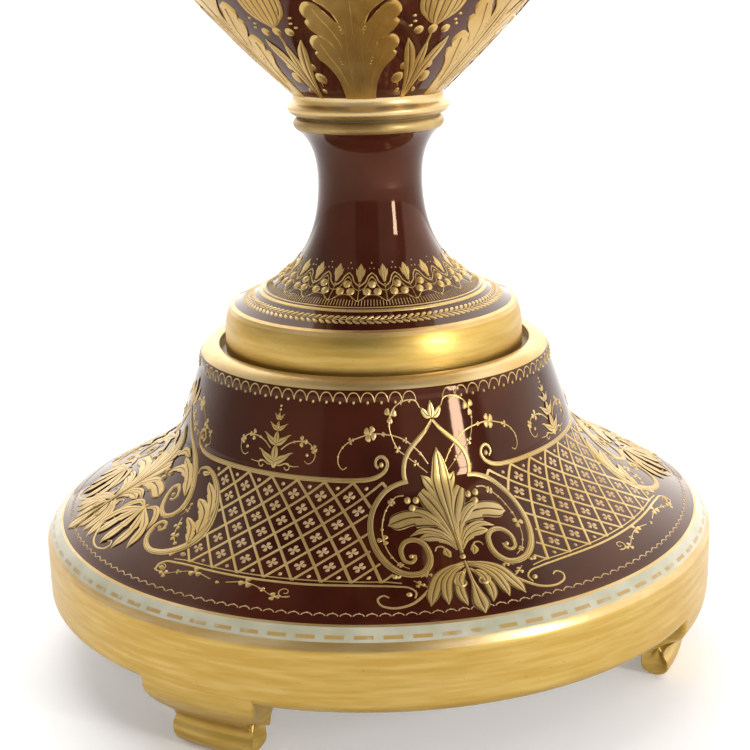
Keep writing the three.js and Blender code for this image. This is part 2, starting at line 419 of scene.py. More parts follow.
class Nodes:
    """Small helper that adds nodes to a material and links them."""

    def __init__(self, name: str) -> None:
        """Makes a new node material with a Principled surface."""
        self.material = bpy.data.materials.new(name)
        self.material.use_nodes = True
        self.tree = self.material.node_tree
        self.surface = self.tree.nodes["Principled BSDF"]
        self.coords = self.tree.nodes.new("ShaderNodeTexCoord").outputs["Object"]

    def link(self, source: bpy.types.NodeSocket, target: bpy.types.NodeSocket) -> None:
        """Links two sockets."""
        self.tree.links.new(source, target)

    def noise(
        self, scale: float, detail: float, stretch: tuple[float, float, float] = (1, 1, 1)
    ) -> bpy.types.NodeSocket:
        """Noise on object coordinates, scale in cycles a metre, stretched along the axes.

        Args:
            scale: Cycles a metre.
            detail: Number of finer octaves.
            stretch: Factors on the three axes.

        Returns:
            The noise value, 0 to 1.
        """
        mapping = self.tree.nodes.new("ShaderNodeMapping")
        mapping.inputs["Scale"].default_value = stretch
        self.link(self.coords, mapping.inputs["Vector"])
        node = self.tree.nodes.new("ShaderNodeTexNoise")
        node.inputs["Scale"].default_value = scale
        node.inputs["Detail"].default_value = detail
        self.link(mapping.outputs["Vector"], node.inputs["Vector"])
        return node.outputs["Fac"]

    def ramp(self, source: bpy.types.NodeSocket, low: float, high: float) -> bpy.types.NodeSocket:
        """Stretches the part of a value between low and high to the range 0 to 1.

        Args:
            source: The value.
            low: What becomes 0.
            high: What becomes 1.

        Returns:
            The stretched value.
        """
        node = self.tree.nodes.new("ShaderNodeMapRange")
        node.inputs["From Min"].default_value = low
        node.inputs["From Max"].default_value = high
        self.link(source, node.inputs["Value"])
        return node.outputs["Result"]

    def scaled(self, source: bpy.types.NodeSocket, low: float, high: float) -> bpy.types.NodeSocket:
        """Turns a value from 0 to 1 into one from low to high.

        Args:
            source: A value from 0 to 1.
            low: What 0 becomes.
            high: What 1 becomes.

        Returns:
            The new value.
        """
        node = self.tree.nodes.new("ShaderNodeMapRange")
        node.inputs["To Min"].default_value = low
        node.inputs["To Max"].default_value = high
        self.link(source, node.inputs["Value"])
        return node.outputs["Result"]

    def mix(
        self,
        factor: bpy.types.NodeSocket,
        a: bpy.types.NodeSocket | tuple[float, float, float],
        b: tuple[float, float, float],
    ) -> bpy.types.NodeSocket:
        """Blends from colour a to colour b by a factor.

        Args:
            factor: 0 for a, 1 for b.
            a: A colour or a socket.
            b: A colour.

        Returns:
            The blended colour.
        """
        node = self.tree.nodes.new("ShaderNodeMix")
        node.data_type = "RGBA"
        self.link(factor, node.inputs["Factor"])
        if isinstance(a, tuple):
            node.inputs["A"].default_value = (*a, 1.0)
        else:
            self.link(a, node.inputs["A"])
        node.inputs["B"].default_value = (*b, 1.0)
        return node.outputs["Result"]

    def attribute(self, name: str) -> bpy.types.NodeSocket:
        """A value stored on the mesh."""
        node = self.tree.nodes.new("ShaderNodeAttribute")
        node.attribute_name = name
        return node.outputs["Fac"]

    def math(self, operation: str, a: bpy.types.NodeSocket,
             b: bpy.types.NodeSocket | float = 0.0) -> bpy.types.NodeSocket:
        """The result of one operation on a socket and a second socket or number.

        Args:
            operation: Name of the operation.
            a: First value.
            b: Second value, where the operation takes one.

        Returns:
            The result.
        """
        node = self.tree.nodes.new("ShaderNodeMath")
        node.operation = operation
        self.link(a, node.inputs[0])
        if isinstance(b, (int, float)):
            node.inputs[1].default_value = b
        else:
            self.link(b, node.inputs[1])
        return node.outputs[0]

    def cut(self) -> bpy.types.NodeSocket:
        """1 where the tooling value is close to a whole number, 0 elsewhere: the tooled lines, partly
        painted shade in grooves and at edges.
        """
        return self.ramp(self.math("PINGPONG", self.attribute("tooling"), 0.5), 0.15, 0.05)

    def bump(self, height: bpy.types.NodeSocket, strength: float, distance: float) -> None:
        """Gives the surface a fine relief from a height value, distance in metres.

        Args:
            height: Height value, 0 to 1.
            strength: Share of the full effect.
            distance: Depth in metres.
        """
        node = self.tree.nodes.new("ShaderNodeBump")
        node.inputs["Strength"].default_value = strength
        node.inputs["Distance"].default_value = distance
        self.link(height, node.inputs["Height"])
        self.link(node.outputs["Normal"], self.surface.inputs["Normal"])


@dataclass(frozen=True)
class Glaze:
    """Coloured lustre glaze over porcelain: deep and glossy, with a warm sheen."""

    name: str
    deep: tuple[float, float, float]
    light: tuple[float, float, float]
    sheen: tuple[float, float, float]
    roughness: float = 0.05
    ior: float = 1.42

    def material(self) -> bpy.types.Material:
        """Two tones by slow noise, faint ripples in the gloss, a gold-tinted reflection.

        Returns:
            The material.
        """
        n = Nodes(self.name)
        mottled = n.mix(n.ramp(n.noise(38, 3), 0.35, 0.68), self.deep, self.light)
        n.link(mottled, n.surface.inputs["Base Color"])
        n.link(n.scaled(n.noise(700, 2), self.roughness * 0.7, self.roughness * 1.5),
               n.surface.inputs["Roughness"])
        n.surface.inputs["IOR"].default_value = self.ior
        n.surface.inputs["Specular Tint"].default_value = (*self.sheen, 1.0)
        n.bump(n.noise(130, 2), 0.12, 0.0002)
        return n.material


@dataclass(frozen=True)
class Gilding:
    """Fired gold: warm, paler in rubbed patches, with dark tooled lines that also paint shade in its
    grooves and along its edges.
    """

    name: str
    gold: tuple[float, float, float]
    pale: tuple[float, float, float]
    tooled_and_shaded: tuple[float, float, float]
    metallic: float
    roughness: float
    brushed: float = 1.0

    def material(self) -> bpy.types.Material:
        """Gold that pales in patches, turns brown on its tooled lines, which also paint shade in the
        grooves and along the edges, with fine grain.

        Returns:
            The material.
        """
        n = Nodes(self.name)
        around = (1.0, 1.0, self.brushed)
        patches = n.mix(n.ramp(n.noise(45, 4, around), 0.38, 0.7), self.gold, self.pale)
        # dark on the tooled lines: partly the gilt's own tooling, partly painted shade in the middle
        # groove and along the sunk edge
        cut = n.cut()
        tooled_and_shaded = n.mix(cut, patches, self.tooled_and_shaded)
        specks = n.mix(n.ramp(n.noise(1500, 2), 0.70, 0.78), tooled_and_shaded, self.tooled_and_shaded)
        n.link(specks, n.surface.inputs["Base Color"])
        n.link(n.scaled(n.noise(300, 3, around), self.roughness * 0.7, self.roughness * 1.35),
               n.surface.inputs["Roughness"])
        n.surface.inputs["Metallic"].default_value = self.metallic
        n.bump(n.noise(220, 3, around), 0.3, 0.0001)
        return n.material


@dataclass(frozen=True)
class Enamel:
    """Pale enamel over white porcelain, or the bare clay itself.

    A dash height above zero adds a worn line of gold dashes at that height, in metres.
    """

    name: str
    colour: tuple[float, float, float]
    cloud: tuple[float, float, float]
    roughness: float
    dash_height: float = 0.0
    dashes: int = 84

    def material(self) -> bpy.types.Material:
        """A pale ground with faint clouds and pinholes, and its dashes if it has them.

        Returns:
            The material.
        """
        n = Nodes(self.name)
        clouds = n.mix(n.ramp(n.noise(90, 3), 0.35, 0.7), self.colour, self.cloud)
        pits = n.mix(n.ramp(n.noise(2600, 1), 0.72, 0.8), clouds, (0.32, 0.28, 0.2))
        if self.dash_height:
            pits = n.mix(self.dash_mask(n), pits, (0.42, 0.27, 0.09))
        n.link(pits, n.surface.inputs["Base Color"])
        n.surface.inputs["Roughness"].default_value = self.roughness
        n.bump(n.noise(700, 2), 0.2, 0.0001)
        return n.material

    def dash_mask(self, n: Nodes) -> bpy.types.NodeSocket:
        """1 on the dashes: near their height, on two thirds of each pitch, worn by noise.

        Args:
            n: Nodes of the material.

        Returns:
            The mask.
        """
        split = n.tree.nodes.new("ShaderNodeSeparateXYZ")
        n.link(n.coords, split.inputs["Vector"])
        turn = n.math("ARCTAN2", split.outputs["X"], split.outputs["Y"])
        place = n.math("FRACT", n.math("MULTIPLY", turn, self.dashes / (2 * math.pi)))
        on_dash = n.ramp(place, 0.70, 0.64)
        off = n.math("ABSOLUTE", n.math("SUBTRACT", split.outputs["Z"], self.dash_height))
        near = n.ramp(off, 0.00052, 0.00036)
        wear_and_shade = n.ramp(n.noise(160, 3), 0.30, 0.48)
        return n.math("MULTIPLY", n.math("MULTIPLY", on_dash, near), wear_and_shade)


class Finish(Enum):
    """Finish numbers of the faces of the three turned pieces."""

    MAROON = 0
    GOLD = 1
    PALE = 2
    CLAY = 3
    LINE = 4
    # darker gold as painted shade in the gap between the urn's foot and its collar
    SHADED_GOLD = 5


@dataclass(frozen=True)
class Palette:
    """The materials of the whole object, in the order of their finish numbers."""

    turned: list[bpy.types.Material]
    relief: bpy.types.Material
    leafing: bpy.types.Material
    fine: bpy.types.Material

    @staticmethod
    def mixed() -> Palette:
        """Makes each finish once.

        Returns:
            The palette.
        """
        maroon = Glaze(
            "maroon_glaze", (0.032, 0.0062, 0.0036), (0.058, 0.012, 0.006), (0.85, 0.56, 0.37)
        )
        satin = Gilding(
            "satin_gold", (0.47, 0.30, 0.065), (0.56, 0.39, 0.12), (0.24, 0.12, 0.04), 0.92, 0.36,
            12.0,
        )
        pale = Enamel(
            "pale_enamel", (0.42, 0.41, 0.29), (0.54, 0.52, 0.41), 0.2, dash_height=0.0487
        )
        clay = Enamel("bare_porcelain", (0.66, 0.62, 0.54), (0.56, 0.51, 0.43), 0.5)
        line = Gilding(
            "edge_gold", (0.54, 0.36, 0.13), (0.66, 0.50, 0.26), (0.34, 0.18, 0.07), 0.75, 0.33,
            4.0,
        )
        relief = Gilding(
            "raised_gold", (0.50, 0.34, 0.11), (0.62, 0.46, 0.21), (0.07, 0.035, 0.015), 0.7, 0.38
        )
        leafing = Gilding(
            "leaf_gold", (0.43, 0.26, 0.065), (0.56, 0.39, 0.14), (0.10, 0.05, 0.02), 0.92, 0.33
        )
        fine = Gilding(
            "fine_gold", (0.50, 0.33, 0.15), (0.62, 0.45, 0.25), (0.16, 0.08, 0.03), 0.5, 0.5
        )
        # darker gold for the bead on top of the foot and the collar's underside: painted shade in the
        # gap between foot and vessel
        wear_and_shade = Gilding(
            "painted_shade_gold", (0.26, 0.16, 0.05), (0.46, 0.33, 0.13), (0.04, 0.02, 0.01), 0.7, 0.42, 2.0
        )
        turned = [kind.material() for kind in (maroon, satin, pale, clay, line, wear_and_shade)]
        return Palette(turned, relief.material(), leafing.material(), fine.material())


# ---- plinth ----------------------------------------------------------------------------


@dataclass
class BracketFoot:
    """A foot that carries the wall down, leans in and rolls up at the toe."""

    ear_half: float = 20.6
    waist_half: float = 14.0
    roll_half: float = 14.8
    toe_half: float = 12.5
    roll_r: float = 107.4
    roll_z: float = 4.75
    roll_radius: float = 4.7
    core: Pair = (108.0, 12.0)
    across: int = 41

    def section(self) -> np.ndarray:
        """Loop of (radius, height): wall face, lean, roll round the toe, upright inner face.

        Returns:
            Points in order round the loop.
        """
        lean = smooth_path(
            [(119.85, 29.5), (119.8, 24), (119.2, 20.5), (117.2, 17), (114, 13.8), (111.4, 11.3),
             (110.6, 9.6)], 22
        )
        roll = arc((self.roll_r, self.roll_z), self.roll_radius, 42, -190, 26)
        inner = smooth_path([(102.8, 8), (103.1, 17), (105.5, 23), (110, 27.5), (115.3, 31)], 14)
        return np.concatenate([lean, roll, inner])

    def half_width(self, z: np.ndarray) -> np.ndarray:
        """Half width against height: ears at the wall, a waist, the rolled toe.

        Args:
            z: Heights.

        Returns:
            Half widths in millimetres.
        """
        heights = [-1, 0, 3.2, 6.6, 9.6, 12.2, 15.2, 17.4, 19.4, 22, 32]
        widths = [
            self.toe_half, self.toe_half, self.roll_half - 0.6, self.roll_half,
            self.waist_half + 0.2, self.waist_half, self.waist_half + 1, self.ear_half - 2.6,
            self.ear_half - 0.8, self.ear_half, self.ear_half,
        ]
        return np.interp(z, heights, widths)

    def shell(self, azimuth: float) -> Shell:
        """The foot as a section carried round the wall, its ends dished and closed.

        The section loop is one parameter and the place across the foot is the other. Past each
        side the loop shrinks towards its core in steps, bulging at the rim and dished inside.

        Args:
            azimuth: Degrees from the front.

        Returns:
            The foot in metres.
        """
        loop = self.section()
        half = self.half_width(loop[:, 1])
        core = np.array(self.core)
        t = np.linspace(-1, 1, self.across)
        ends = np.array([[0.97, 0.45], [0.9, 0.6], [0.8, 0.2], [0.6, -0.5], [0.3, -0.7], [0.05, -0.7]])
        rows = [(1.0, np.full(len(loop), k) * half) for k in t]
        hollow = np.clip((loop[:, 1] - 9) / 8, 0.15, 1.0)
        for shrink, push in ends:
            rows.append((shrink, half + push * np.where(push < 0, hollow * 1.6, 0.8)))
        for shrink, push in ends:
            rows.insert(0, (shrink, -half - push * np.where(push < 0, hollow * 1.6, 0.8)))
        points = []
        for shrink, offset in rows:
            ring = core + (loop - core) * shrink
            phi = math.radians(azimuth) + offset / ring[:, 0]
            x, y = ring[:, 0] * np.sin(phi), -ring[:, 0] * np.cos(phi)
            points.append(np.stack([x, y, np.maximum(ring[:, 1], 0.02)], axis=1))
        grid = np.concatenate(points) * MM
        count = len(loop)
        faces = [grid_faces(len(rows), count, False, True)]
        first = np.arange(count)[None, :]
        faces += [first, first[:, ::-1] + (len(rows) - 1) * count]
        finish = [np.full(len(block), Finish.GOLD.value) for block in faces]
        return Shell(grid, faces, np.full(len(grid), PLAIN), finish).outward()


@dataclass
class Plinth:
    """Round stand: drum with a rolled rim, concave flare, banded wall, four bracket feet."""

    wall_radius: float = 120.0
    wall_foot: float = 24.0
    wall_top: float = 45.8
    edge_round: float = 3.4
    band_top: Pair = (113.4, 51.6)
    drum_foot: Pair = (69.7, 83.0)
    drum_top: Pair = (62.5, 104.6)
    rim_round: float = 5.8
    recess_radius: float = 55.2
    recess_floor: float = 107.0
    feet_spread: float = 49.0
    feet_turn: float = 3.5
    around: int = 256
    foot: BracketFoot = field(default_factory=BracketFoot)

    def rim_centre(self) -> Pair:
        """Centre of the rolled rim's section."""
        return (self.drum_top[0] - self.rim_round, self.drum_top[1] + 0.9)

    def flare(self, count: int) -> np.ndarray:
        """The concave flare from the foot of the drum out to the pale band."""
        return bezier(self.drum_foot, (71.2, 72.2), (96, 61.5), self.band_top, count)

    def band(self, count: int) -> np.ndarray:
        """The convex band from the flare down to the wall."""
        end = (self.wall_radius - 0.4, self.wall_top)
        return bezier(self.band_top, (115.6, 50.6), (118.6, 48.6), end, count)

    def outline(self) -> Outline:
        """The whole profile: recess, rim, drum, flare, band, wall and the hollow underneath.

        Returns:
            The outline, closed on the axis at both ends.
        """
        maroon, gold = Finish.MAROON.value, Finish.GOLD.value
        pale, clay, line = Finish.PALE.value, Finish.CLAY.value, Finish.LINE.value
        rim = arc(self.rim_centre(), self.rim_round, 100, 0, 31)
        flare, band = self.flare(60), self.band(28)
        edge = (self.wall_radius - self.edge_round, self.wall_foot + self.edge_round)
        inner = edge[0] - 1.4
        o = Outline(0, self.recess_floor)
        o.to(self.recess_radius, self.recess_floor, clay, 6)
        o.to(self.recess_radius, rim[0][1] - 0.4, line, 0.8)
        o.along(rim[:22], line).along(rim[22:], maroon)
        o.to(self.drum_top[0], self.drum_top[1], maroon)
        o.to(*self.drum_foot, maroon)
        o.along(flare, maroon).along(band[:4], maroon).along(band[4:7], line)
        o.along(band[7:22], pale).along(band[22:], line)
        o.to(self.wall_radius, self.wall_top - 0.7, line, 0.4)
        o.to(self.wall_radius, edge[1], gold)
        o.along(arc(edge, self.edge_round, 0, -90, 13), gold)
        o.to(inner, self.wall_foot, gold)
        o.to(inner, self.wall_top - 3.4, clay, 4)
        for r, z in ((100, 53), (81, 63), (67.5, 74), (64, 84), (57.5, 101), (54, 102)):
            o.to(r, z, clay, 4)
        return o.to(0, self.recess_floor - 5, clay, 6)

    def chart(self) -> Chart:
        """Flat coordinates over rim, drum, flare and band; y is zero just under the rim's side.

        Returns:
            The chart, unrolled at its nominal radius.
        """
        rim = arc(self.rim_centre(), self.rim_round, 75, 0, 24)
        drum = np.linspace(self.drum_top, self.drum_foot, 20)
        line = np.concatenate([rim, drum, self.flare(80)[1:], self.band(20)[1:]])
        along = np.linalg.norm(np.diff(rim, axis=0), axis=1).sum()
        return Chart(line, STAND_UNROLLED, float(along))

    def build(self, palette: Palette) -> None:
        """Makes the turned stand with its feet as one piece.

        Args:
            palette: The materials.
        """
        turns = (self.feet_spread, 180 - self.feet_spread, 180 + self.feet_spread, -self.feet_spread)
        feet = [self.foot.shell(turn + self.feet_turn) for turn in turns]
        whole = joined([self.outline().turned(self.around), *feet])
        enrol(mesh_object("plinth_turned", whole, palette.turned), "plinth")


# ---- foot of the urn -------------------------------------------------------------------


@dataclass
class UrnFoot:
    """Round foot: gilt disc, sloping shoulder, waisted stem and a ring on top."""

    bottom: float = 107.3
    disc_radius: float = 52.8
    disc_top: float = 123.4
    disc_edge: Pair = (50.3, 124.6)
    stem: Pair = (18.2, 167.0)
    top: float = 189.3
    around: int = 224

    def slope(self, count: int) -> np.ndarray:
        """The concave sweep from the waist of the stem down to the edge of the disc."""
        return bezier(self.stem, (18.6, 139), (34, 131), self.disc_edge, count)

    def outline(self) -> Outline:
        """The whole profile, up the outside and back down the hollow.

        Returns:
            The outline, from the disc's inner edge over the axis and back to it.
        """
        maroon, gold = Finish.MAROON.value, Finish.GOLD.value
        clay, line = Finish.CLAY.value, Finish.LINE.value
        slope = self.slope(90)[::-1]
        o = Outline(self.disc_radius - 6, self.bottom)
        o.to(self.disc_radius - 0.4, self.bottom, clay)
        o.to(self.disc_radius, self.bottom + 1, gold, 0.5)
        o.to(self.disc_radius, self.disc_top - 7, gold)
        bend = [(self.disc_radius, self.disc_top - 7), (self.disc_radius - 0.7, self.disc_top - 2.6),
                (self.disc_radius - 1.5, self.disc_top - 0.3)]
        o.along(smooth_path(bend, 8), gold)
        o.to(self.disc_edge[0] + 0.3, self.disc_edge[1] - 0.1, line, 0.4)
        edge = slope[:, 0] > 48.9
        o.along(slope[edge], line).along(slope[~edge], maroon)
        o.along(bezier(self.stem, (18.2, 174), (19.4, 181), (25.2, 185.3), 30), maroon)
        bead = [(25.2, 185.3), (25.9, 186.3), (26.0, 187.3), (25.5, 188.6), (24.3, self.top)]
        # the bead under the collar takes the darker gold: painted shade in the gap
        o.along(smooth_path(bead, 12), Finish.SHADED_GOLD.value)
        o.to(0, self.top, clay, 5).to(0, self.top - 7, clay, 8)
        for r, z in ((12.5, 173), (13.2, 161), (16.5, 143), (24.5, 132), (36, 125), (46.8, 119.5)):
            o.to(r, z, clay, 5)
        return o.to(self.disc_radius - 6, self.bottom + 0.4, clay, 5)

    def chart(self) -> Chart:
        """Flat coordinates from the waist of the stem (y zero) down the slope."""
        return Chart(self.slope(120), FOOT_UNROLLED)

    def build(self, palette: Palette) -> None:
        """Makes the turned foot."""
        shell = self.outline().turned(self.around)
        enrol(mesh_object("foot_turned", shell, palette.turned), "urn_foot")


# ---- vessel ----------------------------------------------------------------------------


@dataclass
class Vessel:
    """Hollow ovoid urn: collar, bowl, shoulder, neck and flared lip."""

    base: float = 189.6
    collar_radius: float = 27.9
    collar_lip: float = 193.1
    bowl_start: Pair = (26.0, 197.3)
    belly: Pair = (96.0, 300.0)
    shoulder: Pair = (51.0, 352.0)
    neck: Pair = (36.5, 380.0)
    lip: Pair = (57.5, 424.0)
    well: float = 208.0
    wall: float = 5.0
    around: int = 256

    def bowl(self, count: int) -> np.ndarray:
        """The bowl from its collar up to the widest place."""
        return bezier(self.bowl_start, (52, 222), (92, 262), self.belly, count)

    def upper(self, count: int) -> np.ndarray:
        """The shoulder from the widest place up to the foot of the neck."""
        return bezier(self.belly, (98.5, 325), (84, 345), self.shoulder, count)

    def throat(self, count: int) -> np.ndarray:
        """The neck, from the shoulder ring in to its waist and out to the lip.

        Args:
            count: Points in each of the two stretches.

        Returns:
            Rows of radius and height.
        """
        start = (self.shoulder[0] - 3, self.shoulder[1] + 4.5)
        end = (self.lip[0] - 1.2, self.lip[1] - 4)
        low = bezier(start, (39, 362), (36.5, 371), self.neck, count)
        high = bezier(self.neck, (36.5, 396), (48, 410), end, count)
        return np.concatenate([low, high[1:]])

    @staticmethod
    def inside(line: np.ndarray, wall: float) -> np.ndarray:
        """The same line moved inwards by the wall, square to its own direction.

        Args:
            line: Rows of radius and height.
            wall: Thickness.

        Returns:
            The moved line.
        """
        slope = np.gradient(line, axis=0)
        slope /= np.linalg.norm(slope, axis=1)[:, None]
        return line + wall * np.stack([-slope[:, 1], slope[:, 0]], axis=1)

    def outline(self) -> Outline:
        """The whole profile: collar, outside, lip and back down the inside.

        Returns:
            The outline, closed on the axis at both ends.
        """
        maroon, clay, line = Finish.MAROON.value, Finish.CLAY.value, Finish.LINE.value
        s, z = self.shoulder
        body = np.concatenate([self.bowl(90), self.upper(50)[1:]])
        throat = self.throat(26)
        collar = [
            (24.6, self.base), (26.6, self.base + 0.9),
            (self.collar_radius - 0.2, self.collar_lip - 1.3),
            (self.collar_radius, self.collar_lip - 0.3),
            (self.collar_radius - 0.6, self.collar_lip + 0.6),
            (26.2, self.collar_lip + 1.6), (25.8, self.collar_lip + 2.8), self.bowl_start,
        ]
        ring = [(s, z), (s + 0.9, z + 1.2), (s + 0.9, z + 2.8), (s - 0.6, z + 4.2), (s - 3, z + 4.5)]
        edge = [
            (self.lip[0] - 1.2, self.lip[1] - 4), (self.lip[0], self.lip[1] - 2.4),
            (self.lip[0], self.lip[1] - 1), (self.lip[0] - 1.4, self.lip[1] - 0.05),
            (self.lip[0] - 3.6, self.lip[1] - 0.6), (self.lip[0] - 5, self.lip[1] - 3),
        ]
        inner_throat = self.inside(throat, self.wall - 1)[4:-3][::-1]
        inner_body = self.inside(body, self.wall)[26:-4][::-1]
        o = Outline(0, self.base)
        o.to(24.6, self.base, clay, 5)
        ring_line = smooth_path(collar, 34)
        # the collar's underside takes the darker gold: painted shade in the gap over the foot
        o.along(ring_line[:13], Finish.SHADED_GOLD.value).along(ring_line[13:], line)
        o.along(body, maroon).along(smooth_path(ring, 14), line)
        o.along(throat, maroon).along(smooth_path(edge, 18), line)
        o.along(inner_throat, clay).along(inner_body[::2], clay)
        o.to(20, self.well + 0.8, clay, 4)
        return o.to(0, self.well, clay, 5)

    def chart(self) -> Chart:
        """Flat coordinates down the bowl; y is 47.3 where the bowl meets its collar.

        Returns:
            The chart, unrolled at its nominal radius.
        """
        line = self.bowl(160)[::-1]
        length = np.linalg.norm(np.diff(line, axis=0), axis=1).sum()
        return Chart(line, BOWL_UNROLLED, float(length) - 47.3)

    def build(self, palette: Palette) -> None:
        """Makes the turned vessel."""
        shell = self.outline().turned(self.around)
        enrol(mesh_object("vessel_turned", shell, palette.turned), "urn_body")


# ---- raised gilding --------------------------------------------------------------------


def template_bead(sides: int, rings: int) -> tuple[np.ndarray, list[np.ndarray]]:
    """Unit dome closed underneath: rings on a half sphere, a tip on top.

    Args:
        sides: Points in a ring.
        rings: Rings up to the tip.

    Returns:
        Unit points and their faces.
    """
    a = 2 * np.pi * np.arange(sides) / sides
    rise = np.linspace(0, math.pi / 2, rings + 1)[:-1]
    ring = [np.stack([np.cos(a) * math.cos(e), np.sin(a) * math.cos(e),
                      np.full(sides, math.sin(e))], 1) for e in rise]
    points = np.concatenate([*ring, [[0.0, 0.0, 1.0]]])
    j = np.arange(sides)
    top = (rings - 1) * sides
    fan = np.stack([top + j, top + (j + 1) % sides, np.full(sides, rings * sides)], -1)
    faces = [grid_faces(rings, sides, False, True)[:, ::-1], fan, j[None, ::-1]]
    return points, faces


def template_petal(sides: int, blunt: float) -> tuple[np.ndarray, list[np.ndarray]]:
    """Unit petal from its root at 0 to its tip at 1: a dome on a tear-shaped outline.

    Args:
        sides: Points in a ring.
        blunt: 0 for a slim root, 1 for a broad tip.

    Returns:
        Unit points and their faces.
    """
    points, faces = template_bead(sides, 2)
    t = (points[:, 0] + 1) / 2
    width = np.clip(t, 0, 1) ** (0.35 + 0.5 * blunt) + 0.12
    points = np.stack([t, points[:, 1] * width, points[:, 2]], axis=1)
    return points, faces


class Relief:
    """Collects raised shapes in flat coordinates: x across, y down, lift off the surface."""

    SUNK = -0.12

    def __init__(self) -> None:
        """Starts empty."""
        self.shells: list[Shell] = []

    def shell(self) -> Shell:
        """Everything collected, as one shell."""
        return joined(self.shells)

    def mirrored(self, other: Relief) -> Relief:
        """Adds another relief and its mirror image in the y axis."""
        self.shells += other.shells + other.flipped().shells
        return self

    def added(self, other: Relief, down: float = 0.0) -> Relief:
        """Adds another relief, moved down by so much.

        Args:
            other: The relief to add.
            down: How far along y.

        Returns:
            The relief itself.
        """
        shift = np.array([0.0, down, 0.0])
        self.shells += [Shell(s.points + shift, s.faces, s.tooling, s.finish) for s in other.shells]
        return self

    def flipped(self) -> Relief:
        """The mirror image in the y axis.

        Returns:
            The new relief, its faces turned to match.
        """
        other = Relief()
        for shell in self.shells:
            faces = [block[:, ::-1] for block in shell.faces]
            points = shell.points * np.array([-1.0, 1.0, 1.0])
            other.shells.append(Shell(points, faces, shell.tooling, shell.finish))
        return other

    def strip(self, path: np.ndarray, half: np.ndarray, columns: np.ndarray,
              rise: np.ndarray, tooling: np.ndarray) -> Relief:
        """A closed strip along a path: columns across it, each with its rise and tooling.

        Args:
            path: (n, 2) points of the middle line.
            half: Half width at each point.
            columns: Places across, from -1 to 1; both ends are sunk under the surface.
            rise: (n, columns) lift over the surface.
            tooling: (n, columns) tooling values.

        Returns:
            The relief itself.
        """
        slope = np.gradient(path, axis=0)
        slope /= np.maximum(np.linalg.norm(slope, axis=1), 1e-9)[:, None]
        across = np.stack([-slope[:, 1], slope[:, 0]], axis=1)
        offset = np.maximum(half, 0.03)[:, None] * columns
        flat = path[:, None, :] + offset[..., None] * across[:, None]
        lift = rise.copy()
        lift[:, [0, -1]] = self.SUNK
        points = np.concatenate([flat, lift[..., None]], axis=2).reshape(-1, 3)
        n, m = len(path), len(columns)
        ends = np.arange(m)[None, :]
        faces = [grid_faces(n, m, False, True), ends, ends[:, ::-1] + (n - 1) * m]
        self.shells.append(Shell(points, faces, tooling.ravel().astype(float)))
        return self

    def ribbon(self, path: np.ndarray, half: float | Sequence[float], height: float,
               grooves: float = 0.0) -> Relief:
        """A rounded cord or band along a path.

        Args:
            path: (n, 2) points.
            half: Half width, or several spread evenly from start to end.
            height: Lift of the middle.
            grooves: Tooling value reached at the edges, 0 for a plain cord.

        Returns:
            The relief itself.
        """
        n = len(path)
        given = np.atleast_1d(np.array(half, float))
        half = np.interp(np.linspace(0, 1, n), np.linspace(0, 1, len(given)), given)
        columns = np.array([-1, -0.86, -0.5, 0, 0.5, 0.86, 1.0]) if grooves else np.array(
            [-1, -0.75, 0, 0.75, 1.0])
        dome = np.sqrt(np.clip(1 - columns**2, 0, 1))
        if grooves:
            dome = dome - np.where(columns == 0, 0.3, 0.0)
        taper = np.minimum(1.0, half / max(half.max() * 0.6, 1e-6))
        rise = height * taper[:, None] * dome
        tooling = np.tile(columns * grooves, (n, 1)) if grooves else np.full((n, 5), PLAIN)
        return self.strip(path, half, columns, rise, tooling)

    def leaf(self, knots: Sequence[Pair], half: Sequence[float], height: float,
             veins: float = 1.0, rows: int = 22, lift: float = 0.0, teeth: int = 0) -> Relief:
        """A leaf or petal along a curve, with tooled veins that run its length.

        Along a toothed leaf the width grows and falls back once for each tooth.

        Args:
            knots: Middle line from root to tip.
            half: Half widths spread evenly from root to tip.
            height: Lift of the middle.
            veins: Tooling value reached at the edges, 0 for a plain leaf.
            rows: Points along the leaf.
            lift: Extra lift, for a leaf that lies over another.
            teeth: Number of teeth along each side.

        Returns:
            The relief itself.
        """
        path = smooth_path(knots, rows)
        given = np.array(half, float)
        width = smooth_path([(i, w) for i, w in enumerate(given)], 80)
        along = np.linspace(0, len(given) - 1, rows)
        half_line = np.clip(np.interp(along, width[:, 0], width[:, 1]), 0.03, None)
        if teeth:
            t = np.linspace(0, teeth, rows)
            half_line = half_line * (0.74 + 0.34 * (t % 1.0) ** 0.7)
        columns = np.array([-1, -0.94, -0.7, -0.4, -0.12, 0, 0.12, 0.4, 0.7, 0.94, 1.0])
        dome = 0.55 + 0.45 * np.cos(columns * 1.35) - 0.28 * np.exp(-((columns / 0.1) ** 2))
        taper = np.minimum(1.0, half_line / 0.7)
        rise = lift * taper[:, None] + height * taper[:, None] * dome
        tooling = columns * veins if veins else np.full(len(columns), PLAIN)
        return self.strip(path, half_line, columns, rise, np.tile(tooling, (rows, 1)))

